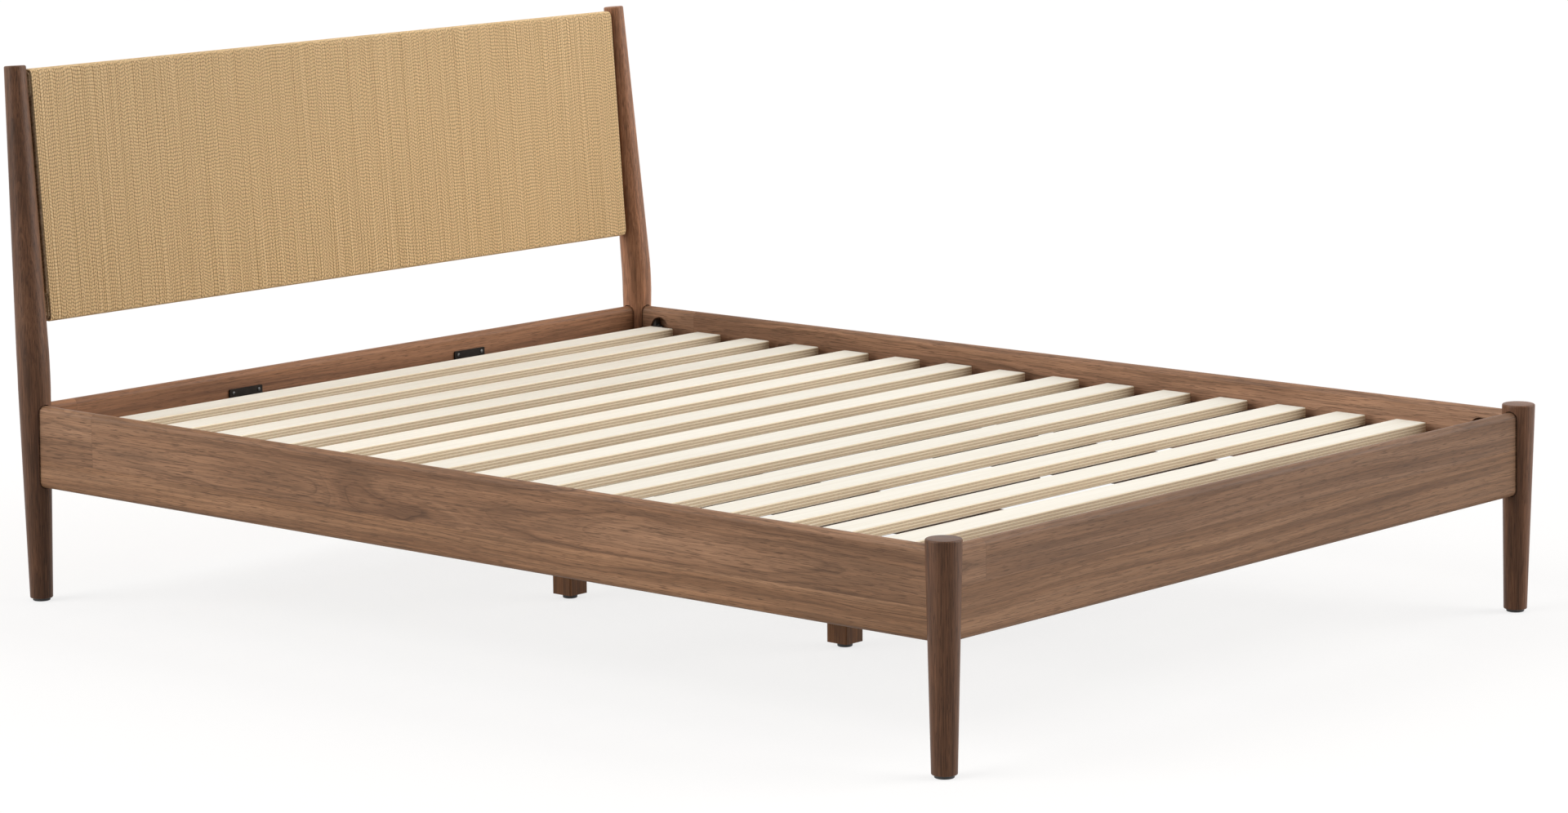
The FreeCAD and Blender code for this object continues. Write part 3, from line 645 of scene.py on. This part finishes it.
# Name: two tones, gloss, metal, waves per metre, relief and shine.
MOTTLED = {
    "hanger_paint": (((0.013, 0.0100, 0.0080), (0.022, 0.0170, 0.0135)), (0.42, 0.56), 0.0,
                     900.0, 0.1 * MM, 0.10),
    # Darkened partly as painted shade, for the nuts and washers deep in the rails' pockets.
    "dull_zinc": (((0.10, 0.10, 0.097), (0.18, 0.18, 0.172)), (0.34, 0.52), 1.0,
                  700.0, 0.05 * MM, 0.5),
    "zinc_plate": (((0.36, 0.36, 0.35), (0.52, 0.52, 0.50)), (0.24, 0.42), 1.0,
                   700.0, 0.05 * MM, 0.5),
    "foot_plastic": (((0.012, 0.012, 0.012), (0.022, 0.021, 0.020)), (0.48, 0.66), 0.0,
                     1100.0, 0.08 * MM, 0.5),
}


def mottled(name, tones, gloss, metal, grain, relief, shine):
    """A finish with uneven tone and fine relief, for metal and plastic."""
    wires, surface = new_material(name)
    place = wires.place()
    cloud = wires.noise(place, (grain * CLOUD_SHARE,) * 3, CLOUD_DETAIL)
    fine = wires.noise(place, (grain,) * 3)
    colour = wires.ramp(cloud, CLOUD_PLACES, tones)
    rough = wires.fade(fine, *MOTTLE_SPAN, *gloss)
    wires.dress(surface, colour, rough, fine, MOTTLE_STRENGTH, relief, shine)
    surface.inputs["Metallic"].default_value = metal


for name, look in MOTTLED.items():
    mottled(name, *look)
print("metal and plastic finishes:", sorted(MOTTLED))

# %% [markdown]
# ## Pieces that stay
# A slat or a beam is a straight bar with eased edges, and the model already has that shape. Such a
# piece stays as it is and only gets its finish.

# %% Finishes for the model's own pieces
STAYING = {
    "slat_": "slat_plywood",
    "ledger_": "ledger_walnut",
    "centre_beam_": "support_wood_long",
    "crossbar_": "support_wood_cross",
    "centre_leg_": "support_wood_upright",
    "headboard_": "inner_wood",
    "beam_hanger_": "hanger_paint",
    "half_moon_washers": "dull_zinc",
    "stud_nuts": "dull_zinc",
    "leveller_sleeves": "zinc_plate",
}
dressed = 0
for name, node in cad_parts.items():
    for start, look in STAYING.items():
        if name.startswith(start):
            node.data.materials.clear()
            node.data.materials.append(finish[look])
            dressed += 1
print("finished", dressed, "staying pieces")

# %% [markdown]
# ## Building helpers
# New pieces start as a bmesh, a light mesh that operators such as bevel, extrude and bridge work
# on. When the shape is done it becomes an object at the origin, with its place in its mesh, and is
# told which body it rides on. Two shapes make most of the bed: a bar with rounded edges, and a
# shaft through a list of rings, each with its own centre, direction and radius.

# %% Finishing and carving
SHARP_ANGLE = math.radians(32)
EVEN_WEIGHT = 90


def finish_piece(name, bm, look, body="frame", even_shading=False):
    """Turn a bmesh into an object with a finish that rides on a body."""
    bmesh.ops.recalc_face_normals(bm, faces=bm.faces[:])
    mesh = bpy.data.meshes.new(name)
    bm.to_mesh(mesh)
    bm.free()
    mesh.materials.append(finish[look])
    mesh.shade_smooth()
    mesh.set_sharp_from_angle(angle=SHARP_ANGLE)
    piece = add_object(name, mesh)
    if even_shading:
        even = piece.modifiers.new("even_shading", "WEIGHTED_NORMAL")
        even.keep_sharp = True
        even.weight = EVEN_WEIGHT
    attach(piece, body)
    return piece


def carve(bm, cutters):
    """Cut closed shapes out of a closed shape, each given as a bmesh."""
    holders = []
    for part in (bm, *cutters):
        bmesh.ops.recalc_face_normals(part, faces=part.faces[:])
        mesh = bpy.data.meshes.new("carving")
        part.to_mesh(mesh)
        part.free()
        holders.append(add_object("carving", mesh))
    stock = holders[0]
    for tool in holders[1:]:
        cut = stock.modifiers.new("cut", "BOOLEAN")
        cut.operation = "DIFFERENCE"
        cut.solver = "EXACT"
        cut.object = tool
    shaped = stock.evaluated_get(bpy.context.evaluated_depsgraph_get())
    carved = bmesh.new()
    carved.from_mesh(shaped.to_mesh())
    shaped.to_mesh_clear()
    for holder in holders:
        bpy.data.meshes.remove(holder.data)
    return carved


print("edges sharper than", round(math.degrees(SHARP_ANGLE)), "degrees stay crisp")

# %% Bars and shafts
EDGE_STEPS = 10
STRAIGHT = 0.99
UP = Vector((0, 0, 1))


def plain_bar(size, centre):
    """A bar with sharp edges."""
    bm = bmesh.new()
    bmesh.ops.create_cube(bm, size=1.0)
    bmesh.ops.scale(bm, vec=size, verts=bm.verts[:])
    bmesh.ops.translate(bm, vec=centre, verts=bm.verts[:])
    return bm


def rounded_bar(size, centre, radius, axis):
    """A bar with its four long edges rounded."""
    bm = plain_bar(size, centre)
    long_edges = []
    for edge in bm.edges:
        run = (edge.verts[0].co - edge.verts[1].co).normalized()
        if abs(run[axis]) > STRAIGHT:
            long_edges.append(edge)
    bmesh.ops.bevel(
        bm, geom=long_edges, offset=radius, offset_type="OFFSET", segments=EDGE_STEPS,
        profile=0.5, affect="EDGES", material=-1, clamp_overlap=True,
    )
    return bm


def turned_shaft(stations, segments):
    """A round shaft through (centre, direction, radius) stations, closed at both ends."""
    bm = bmesh.new()
    rings = []
    for centre, along, radius in stations:
        placing = Matrix.Translation(centre) @ UP.rotation_difference(along).to_matrix().to_4x4()
        made = bmesh.ops.create_circle(
            bm, cap_ends=False, radius=radius, segments=segments, matrix=placing
        )
        rings.append(made["verts"])
    for lower, upper in zip(rings, rings[1:]):
        members = set(lower) | set(upper)
        loops = [edge for edge in bm.edges
                 if set(edge.verts) <= members and len(edge.link_faces) < 2]
        bmesh.ops.bridge_loops(bm, edges=loops)
    for ring in (rings[0], rings[-1]):
        bmesh.ops.contextual_create(bm, geom=ring)
    return bm


print("rounded edges have", EDGE_STEPS, "steps")

# %% [markdown]
# ## Rails
# Four rails make the frame: two long ones at the sides and two short ones at the ends. Each is a
# board 22 mm thick whose edges are rounded almost to a half circle. A cube with bevelled long
# edges gives that section. The side rails are bolted, so they also get round pockets on the inside
# for the nuts, cut with a boolean.

# %% Rails
rail_size = side_high - side_low
RAIL_THICKNESS = rail_size.x
RAIL_MIDDLE = (side_low.z + side_high.z) / 2
RAIL_ROUND = 10 * MM
RAIL_SEAT = side_low.y - FOOT_Y
POCKET_RADIUS = 23 * MM
POCKET_WALL = 4 * MM
POCKET_OFFSET = 70 * MM
POCKET_SIDES = 48
STUD_HEIGHTS = (310 * MM, 246 * MM)
ENDS = (("foot", FOOT_Y, 1), ("head", HEAD_Y, -1))
HANDS = (("left", -1), ("right", 1))


def nut_pocket(side, y, height):
    """Round pocket from the inner face of a side rail."""
    centre = Vector((side * (LEG_X - POCKET_WALL), y, height))
    across = Matrix.Rotation(math.radians(90), 4, "Y")
    bm = bmesh.new()
    bmesh.ops.create_cone(
        bm, cap_ends=True, segments=POCKET_SIDES, radius1=POCKET_RADIUS, radius2=POCKET_RADIUS,
        depth=RAIL_THICKNESS, matrix=Matrix.Translation(centre) @ across,
    )
    return bm


for hand, side in HANDS:
    centre = Vector((side * LEG_X, (side_low.y + side_high.y) / 2, RAIL_MIDDLE))
    bar = rounded_bar(rail_size, centre, RAIL_ROUND, axis=1)
    pockets = []
    for _, y, inward in ENDS:
        pockets += [nut_pocket(side, y + inward * POCKET_OFFSET, z) for z in STUD_HEIGHTS]
    rail = finish_piece("rail_side_" + hand, carve(bar, pockets), "rail_walnut_" + hand,
                        even_shading=True)
    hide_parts("side_rail_" + hand)
end_length = 2 * (LEG_X - RAIL_SEAT)
for end, _, _ in ENDS:
    low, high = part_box(end + "_rail")
    size = Vector((end_length, RAIL_THICKNESS, high.z - low.z))
    bar = rounded_bar(size, (low + high) / 2, RAIL_ROUND, axis=0)
    rail = finish_piece("rail_" + end, bar, "rail_walnut_" + end, even_shading=True)
    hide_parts(end + "_rail")
print("rails", round(rail_size.y, 3), "and", round(end_length, 3), "m long")

# %% [markdown]
# ## Legs and head posts
# The foot legs are turned with one straight taper and a small round at the top. The head posts
# share that taper, bend just above the rails, and lean back and a little inwards while they slim.
# The sockets for the rails are cut a hair wider than the rails, which leaves the fine dark line of
# a real joint.

# %% Shape of a leg
GLIDE_HEIGHT = 5 * MM
LEG_HEIGHT = 363.5 * MM
LEG_LOW_RADIUS = 20.25 * MM
LEG_TOP_RADIUS = 28.25 * MM
LEG_ROUND = 3 * MM
LEG_LOW_ROUND = 2 * MM
KNEE_HEIGHT = 410 * MM
KNEE_BLEND = 30 * MM
POST_HEIGHT = 945 * MM
POST_TOP_RADIUS = 19.3 * MM
POST_LEAN = 40 * MM
POST_LEAN_IN = 5 * MM
ROUND_STEPS = 6
BEND_STEPS = 8
TAPER = (LEG_TOP_RADIUS - LEG_LOW_RADIUS) / (LEG_HEIGHT - GLIDE_HEIGHT)


def eased_rim(centre, along, radius, ease):
    """Stations that round a shaft's end, from its side to its flat."""
    stations = []
    for step in range(ROUND_STEPS + 1):
        angle = math.pi / 2 * step / ROUND_STEPS
        shrink = radius - ease * (1 - math.cos(angle))
        stations.append((centre - along * ease * (1 - math.sin(angle)), along, shrink))
    return stations


def lower_rim(centre, radius, ease):
    """Stations that round a shaft's lower end, from its flat to its side."""
    rim = eased_rim(centre, -UP, radius, ease)
    return [(place, UP, size) for place, _, size in reversed(rim)]


def leg_stations(node, side):
    """Stations of a foot leg or a head post about its lower axis. Side is -1 for a left one."""
    stations = lower_rim(UP * GLIDE_HEIGHT, LEG_LOW_RADIUS, LEG_LOW_ROUND)
    if node == "foot_legs":
        return stations + eased_rim(UP * LEG_HEIGHT, UP, LEG_TOP_RADIUS, LEG_ROUND)
    bend_start = KNEE_HEIGHT - KNEE_BLEND
    radius = LEG_LOW_RADIUS + TAPER * (bend_start - GLIDE_HEIGHT)
    sideways = Vector((-side * (radius - POST_TOP_RADIUS + POST_LEAN_IN), POST_LEAN, 0))
    axis = sideways + UP * (POST_HEIGHT - KNEE_HEIGHT)
    bend = UP.angle(axis)
    bend_radius = KNEE_BLEND / math.tan(bend / 2)
    toward = sideways.normalized()
    for step in range(BEND_STEPS + 1):
        angle = bend * step / BEND_STEPS
        rise = UP * (bend_start + bend_radius * math.sin(angle))
        out = toward * bend_radius * (1 - math.cos(angle))
        stations.append((out + rise, toward * math.sin(angle) + UP * math.cos(angle), radius))
    top = UP * KNEE_HEIGHT + axis
    return stations + eased_rim(top, axis.normalized(), POST_TOP_RADIUS, LEG_ROUND)


print("legs", round(LEG_HEIGHT, 3), "m, posts", round(POST_HEIGHT, 3), "m high")

# %% Legs and posts
SHAFT_SIDES = 128
SOCKET_GAP = 1.8 * MM
CORNERS = [(f"{end}_{hand}", Vector((side * LEG_X, y, 0)), inward, side)
           for end, y, inward in ENDS for hand, side in HANDS]


def rail_sockets(corner, inward, side):
    """Cutters for the two rail ends that enter one corner post."""
    height = rail_size.z + 2 * SOCKET_GAP
    width = RAIL_THICKNESS + 2 * SOCKET_GAP
    reach = 2 * LEG_TOP_RADIUS
    radius = RAIL_ROUND + SOCKET_GAP
    middle = corner + UP * RAIL_MIDDLE
    to_side = Vector((0, inward, 0)) * (RAIL_SEAT + reach / 2)
    to_end = Vector((-side, 0, 0)) * (RAIL_SEAT + reach / 2)
    return [
        rounded_bar(Vector((width, reach, height)), middle + to_side, radius, axis=1),
        rounded_bar(Vector((reach, width, height)), middle + to_end, radius, axis=0),
    ]


for name, corner, inward, side in CORNERS:
    node, kind = ("foot_legs", "leg_") if "foot" in name else ("head_posts", "post_")
    stations = [(corner + centre, along, radius)
                for centre, along, radius in leg_stations(node, side)]
    shaft = carve(turned_shaft(stations, SHAFT_SIDES), rail_sockets(corner, inward, side))
    leg = finish_piece(kind + name, shaft, "walnut_" + kind + name)
    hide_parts(node)
print("two legs and two posts with", SHAFT_SIDES, "sides")

# %% [markdown]
# ## Feet and studs
# Each leg stands on a thin black glide, and each centre leg on a screw foot: a round pad on a
# threaded stem. Both are turned shapes again. The screw feet ride on their own bodies, so they
# move when the model's slides do. The studs that hold the side rails are screws too, and their
# threaded ends show in the rails' pockets.

# %% Glides and screw feet
FOOT_SIDES = 48
GLIDE_RADIUS = 15.5 * MM
GLIDE_EASE = 1.5 * MM
PAD_EASE = 2 * MM
PAD_HEIGHT = 8 * MM
PAD_RADIUS = 13 * MM
STEM_RADIUS = 4 * MM
STEM_LENGTH = 36 * MM
THREAD_PITCH = 1.25 * MM
THREAD_DEPTH = 0.55 * MM


def pad_stations(spot, radius, height, ease):
    """Stations of a flat pad with rounded rims."""
    return lower_rim(spot, radius, ease) + eased_rim(spot + UP * height, UP, radius, ease / 2)


def screw_stations(start, length, direction, radius):
    """Stations of a rod with thread grooves, ending in a small chamfer."""
    root = radius - THREAD_DEPTH
    stations = []
    for step in range(int(length / THREAD_PITCH)):
        base = start + direction * (step * THREAD_PITCH)
        crest = base + direction * THREAD_PITCH * 0.5
        stations += [(base, direction, root), (crest, direction, radius)]
    return stations + [(start + direction * length, direction, root)]


for name, spot, _, _ in CORNERS:
    pad = pad_stations(spot, GLIDE_RADIUS, GLIDE_HEIGHT, GLIDE_EASE)
    glide = finish_piece("glide_" + name, turned_shaft(pad, FOOT_SIDES), "foot_plastic")
    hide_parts("corner_glides")
for name, *_ in CORNERS:
    node = "leveller_" + name
    low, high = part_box(node)
    spot = Vector(((low.x + high.x) / 2, (low.y + high.y) / 2, low.z))
    stations = pad_stations(spot, PAD_RADIUS, PAD_HEIGHT, PAD_EASE)
    stations += screw_stations(spot + UP * PAD_HEIGHT, STEM_LENGTH, UP, STEM_RADIUS)
    screw = finish_piece("screw_foot_" + name, turned_shaft(stations, FOOT_SIDES), "foot_plastic",
                         body=node)
    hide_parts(node)
print("four glides and four screw feet")

# %% Threaded studs
STUD_RADIUS = 3.6 * MM
STUD_SIDES = 24
STUD_BACK = 10 * MM
STUD_PLAIN = 50 * MM
STUD_THREADED = 28.5 * MM

for name, corner, inward, _ in CORNERS:
    along = Vector((0, inward, 0))
    for row, height in enumerate(STUD_HEIGHTS):
        start = corner + UP * height - along * STUD_BACK
        stations = [(start, along, STUD_RADIUS)]
        stations += screw_stations(start + along * STUD_PLAIN, STUD_THREADED, along, STUD_RADIUS)
        stud = finish_piece(f"stud_{name}_{row}", turned_shaft(stations, STUD_SIDES), "dull_zinc")
        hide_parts("rail_studs")
print("eight threaded studs")

# %% [markdown]
# ## Hanger screws
# Each beam hanger is fixed to its rail by four pan-head screws that show grey against the dark
# steel. A screw head is a low dome with a crossed slot, cut with two thin bars.

# %% Screw heads
HEAD_RADIUS = 3.2 * MM
HEAD_RISE = 2.0 * MM
HEAD_ARC = math.pi / 2 * 0.86
HEAD_FULLNESS = 0.6
HEAD_SIDES = 32
SHANK_RADIUS = HEAD_RADIUS * 0.5
SLOT_LENGTH = 3.6 * MM
SLOT_WIDTH = 0.9 * MM
SLOT_DEPTH = 1.2 * MM
SCREW_ASIDE = 31 * MM
SCREW_HEIGHTS = (314 * MM, 252 * MM)
HANGER_SHEET = 3 * MM


def screw_head(place, outward):
    """A pan head on a face, with a crossed slot."""
    stations = [(place - outward * HANGER_SHEET, outward, SHANK_RADIUS)]
    for step in range(ROUND_STEPS + 1):
        angle = HEAD_ARC * step / ROUND_STEPS
        radius = HEAD_RADIUS * math.cos(angle) ** HEAD_FULLNESS
        stations.append((place + outward * HEAD_RISE * math.sin(angle), outward, radius))
    slots = []
    for width, height in ((SLOT_LENGTH, SLOT_WIDTH), (SLOT_WIDTH, SLOT_LENGTH)):
        slots.append(plain_bar((width, SLOT_DEPTH * 2, height), place + outward * HEAD_RISE))
    return carve(turned_shaft(stations, HEAD_SIDES), slots)


for name, _, inward, _ in CORNERS:
    outward = Vector((0, inward, 0))
    low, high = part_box("beam_hanger_" + name)
    face_y = (low.y if inward > 0 else high.y) + inward * HANGER_SHEET
    middle_x = (low.x + high.x) / 2
    for row, height in enumerate(SCREW_HEIGHTS):
        for aside, mark in ((-SCREW_ASIDE, "a"), (SCREW_ASIDE, "b")):
            head = screw_head(Vector((middle_x + aside, face_y, height)), outward)
            finish_piece(f"hanger_screw_{name}_{row}{mark}", head, "dull_zinc")
print("hanger screws made")

# %% [markdown]
# ## Wound headboard
# A single twisted paper cord, about 4 mm thick, is wound round two hidden bars from post to post.
# On the front every turn runs up, and on the back it slants down to the next one. One turn is
# bridged through a dozen small rings, then copied along the headboard into one continuous tube. At
# the end each upright run sways a little, as no cord lies quite straight. The strands of the twist
# are too fine for geometry: the tube carries a map of its length and its girth, and the material
# lays the strands on that. The twist never repeats exactly from turn to turn, so slow noise shifts
# the strands and they line up in waves.

# %% Paper cord material
STRAND_STEP = 6.4 * MM
LAY_SHIFTS = (((40.0, 3.0, 6.0), 1.0, 3.2), ((7.0, 2.0, 2.4), 2.0, 5.0),
              ((230.0, 2.0, 5.0), 1.0, 1.8))
GROOVE_FULLNESS = 0.7
# The grooves between the strands are darkened and the strands' crests a little lightened: painted
# shade and painted light for a twist that has no geometry.
GROOVE_PAINTED_SHADE = (0.0, 1.0, 0.56, 1.09)
# The sides of each cord, where it meets its neighbours, are lightened: painted light against the
# shade in the valleys between cords.
FLANK_PAINTED_LIGHT = (0.0, 1.0, 1.16, 1.0)
FUZZ = ((900.0, 900.0, 900.0), 2.0, 0.6)
FUZZ_SHADE = 0.07
FUZZ_HEIGHT = 0.15
# The winding gets steadily lighter from its left end to its right: painted light, as if more light
# fell on the right.
PAINTED_LIGHT_REACH = 0.72
PAINTED_LIGHT_DRIFT = (0.935, 1.075)
BATCHES = ((110.0, 2.0, 1.3), 3.0, 0.6)
BATCH_TONES = ((0.610, 0.425, 0.224), (0.655, 0.462, 0.250), (0.700, 0.504, 0.281))
CORD_GLOSS = (0.62, 0.80)
CORD_RELIEF = (0.8, 0.6 * MM)
CORD_SHINE = 0.2


def twisted_cord(name):
    """Tan paper cord. The map's first axis goes round the cord, its second along it in metres."""
    wires, surface = new_material(name)
    around, along, _ = wires.axes(wires.node("UVMap", uv_map="cord_map").outputs[0])
    place = wires.place()
    lay = wires.math("ADD", around, wires.math("DIVIDE", along, STRAND_STEP))
    for scale, detail, amount in LAY_SHIFTS:
        lay = wires.times_add(wires.noise(place, scale, detail), amount, lay)
    strand = wires.math("ABSOLUTE", wires.math("SINE", wires.times(lay, math.pi)))
    groove = wires.math("POWER", strand, GROOVE_FULLNESS)
    # 0 on the sides of a cord, where the painted light goes.
    flank_mask_for_painted_light = wires.math("ABSOLUTE", wires.math("COSINE", wires.times(around, 2 * math.pi)))
    fuzz = wires.noise(place, *FUZZ)
    # Painted shade in the strands' grooves and painted light on the cords' sides.
    shade = wires.times(wires.fade(groove, *GROOVE_PAINTED_SHADE), wires.fade(flank_mask_for_painted_light, *FLANK_PAINTED_LIGHT))
    shade = wires.times(shade, wires.swing(fuzz, *ROUGH_SPAN, FUZZ_SHADE))
    from_middle = wires.axes(place)["X"]
    # Painted light: lighter towards the right end of the winding.
    painted_light_drift = wires.fade(from_middle, -PAINTED_LIGHT_REACH, PAINTED_LIGHT_REACH, *PAINTED_LIGHT_DRIFT)
    tone = wires.ramp(wires.noise(place, *BATCHES), BAND_PLACES, BATCH_TONES)
    colour = wires.shaded(tone, wires.times(shade, painted_light_drift))
    rough = wires.fade(fuzz, *ROUGH_SPAN, *CORD_GLOSS)
    relief = wires.times_add(fuzz, FUZZ_HEIGHT, groove)
    wires.dress(surface, colour, rough, relief, *CORD_RELIEF, CORD_SHINE)


twisted_cord("paper_cord")
print("cord strands", round(STRAND_STEP / MM, 1), "mm apart")

# %% Path of one turn
CORD_RADIUS = 2 * MM
CORD_SPREAD = 1.32
CORD_PITCH = 4 * MM
PANEL_LIFT = 83.5 * MM
PANEL_HEIGHT = 445.5 * MM
PANEL_THICKNESS = 30 * MM
PANEL_ROUND = 10 * MM
CORNER_STEPS = 2
wrap_low, wrap_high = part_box("cord_wrap_front")
first_x = wrap_low.x + CORD_RADIUS * CORD_SPREAD
last_x = wrap_high.x - CORD_RADIUS * CORD_SPREAD
turn_count = int((last_x - first_x) / CORD_PITCH) + 1
pitch = (last_x - first_x) / (turn_count - 1)


def turn_stations(start_x, advance):
    """Stations of one turn in the headboard's own axes: [place, direction, length so far]."""
    half = PANEL_THICKNESS / 2 - PANEL_ROUND
    bend = PANEL_ROUND - CORD_RADIUS
    low = PANEL_LIFT + PANEL_ROUND
    high = PANEL_LIFT + PANEL_HEIGHT - PANEL_ROUND
    corners = ((-half, low, 270, 0), (-half, high, 180, 0), (half, high, 90, 0),
               (half, low, 0, advance))
    stations = []
    for y, z, start, x in corners:
        for step in range(CORNER_STEPS + 1):
            angle = math.radians(start - 90 * step / CORNER_STEPS)
            out = Vector((0, math.cos(angle), math.sin(angle)))
            ahead = Vector((0, math.sin(angle), -math.cos(angle)))
            stations.append([Vector((start_x + x, y, z)) + out * bend, ahead])
    stations.append([stations[0][0] + Vector((advance, 0, 0)), stations[0][1]])
    length = 0.0
    for station, before in zip(stations, [stations[0]] + stations):
        length += (station[0] - before[0]).length
        station.append(length)
    return stations


turn_length = turn_stations(first_x, pitch)[-1][2]
print(turn_count, "turns, about", round(turn_count * turn_length), "m of cord")

# %% One turn of cord
CORD_SIDES = 6


def cord_turn(bm, stations, map_layer, column_layer):
    """Bridge a turn of cord through its stations, with its map and its columns' numbers."""
    section = Matrix.Diagonal((CORD_SPREAD, 1, 1, 1)) @ Matrix.Rotation(math.radians(90), 4, "Z")
    side = Vector((1, 0, 0))
    marks = {}
    rings = []
    for place, ahead, length in stations:
        facing = Matrix((side, ahead.cross(side), ahead)).transposed().to_4x4()
        made = bmesh.ops.create_circle(
            bm, cap_ends=False, radius=CORD_RADIUS, segments=CORD_SIDES,
            matrix=Matrix.Translation(place) @ facing @ section,
        )
        for number, vert in enumerate(made["verts"]):
            marks[vert] = (number / CORD_SIDES, length)
            vert[column_layer] = round((place.x - first_x) / pitch)
        rings.append(made["verts"])
    edges = {edge for ring in rings for vert in ring for edge in vert.link_edges}
    for lower, upper in zip(rings, rings[1:]):
        members = set(lower) | set(upper)
        loops = [edge for edge in edges if set(edge.verts) <= members]
        for face in bmesh.ops.bridge_loops(bm, edges=loops)["faces"]:
            turns = [marks[loop.vert][0] for loop in face.loops]
            wraps = max(turns) - min(turns) > 0.5
            for loop in face.loops:
                around, along = marks[loop.vert]
                loop[map_layer].uv = (around + (1 if wraps and around < 0.5 else 0), along)


print("a turn has", len(turn_stations(first_x, pitch)), "rings of", CORD_SIDES, "points")

# %% Winding
JOIN_DISTANCE = 0.05 * MM
LAST_CORNERS = 3
WANDER = 1.15 * MM
WANDER_WAVES = (7.31, 30.0, 2.5)
STEADY_COLUMNS = 4
LEAN = math.atan2(POST_LEAN, POST_HEIGHT - KNEE_HEIGHT)
PANEL_PLACE = Matrix.Translation((0, HEAD_Y, KNEE_HEIGHT)) @ Matrix.Rotation(-LEAN, 4, "X")


def sway_columns(bm, column_layer):
    """Move each column of cord a little aside, but not the first and last ones."""
    for vert in bm.verts:
        column = vert[column_layer]
        from_end = min(column, turn_count - 1 - column)
        point = (column, vert.co.y, vert.co.z)
        sway = noise.noise(Vector(wave * part for wave, part in zip(WANDER_WAVES, point)))
        vert.co.x += WANDER * sway * min(from_end / STEADY_COLUMNS, 1)


def wind_headboard():
    """The whole winding in the headboard's own axes."""
    bm = bmesh.new()
    map_layer = bm.loops.layers.uv.new("cord_map")
    column_layer = bm.verts.layers.int.new("column")
    cord_turn(bm, turn_stations(first_x, pitch), map_layer, column_layer)
    first = bm.verts[:] + bm.edges[:] + bm.faces[:]
    for number in range(1, turn_count - 1):
        copy = bmesh.ops.duplicate(bm, geom=first)["geom"]
        verts = [item for item in copy if isinstance(item, bmesh.types.BMVert)]
        bmesh.ops.translate(bm, vec=(number * pitch, 0, 0), verts=verts)
        for vert in verts:
            vert[column_layer] += number
    last = turn_stations(last_x, 0)[:LAST_CORNERS * (CORNER_STEPS + 1)]
    cord_turn(bm, last, map_layer, column_layer)
    bmesh.ops.remove_doubles(bm, verts=bm.verts[:], dist=JOIN_DISTANCE)
    open_edges = [edge for edge in bm.edges if len(edge.link_faces) == 1]
    bmesh.ops.holes_fill(bm, edges=open_edges)
    sway_columns(bm, column_layer)
    return bm


winding = wind_headboard()
bmesh.ops.transform(winding, matrix=PANEL_PLACE, verts=winding.verts[:])
face_count = len(winding.faces)
wound_cord = finish_piece("wound_cord", winding, "paper_cord")
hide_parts("cord_wrap_front", "cord_wrap_back", "cord_wrap_top", "cord_wrap_bottom")
print("winding of", face_count, "faces")
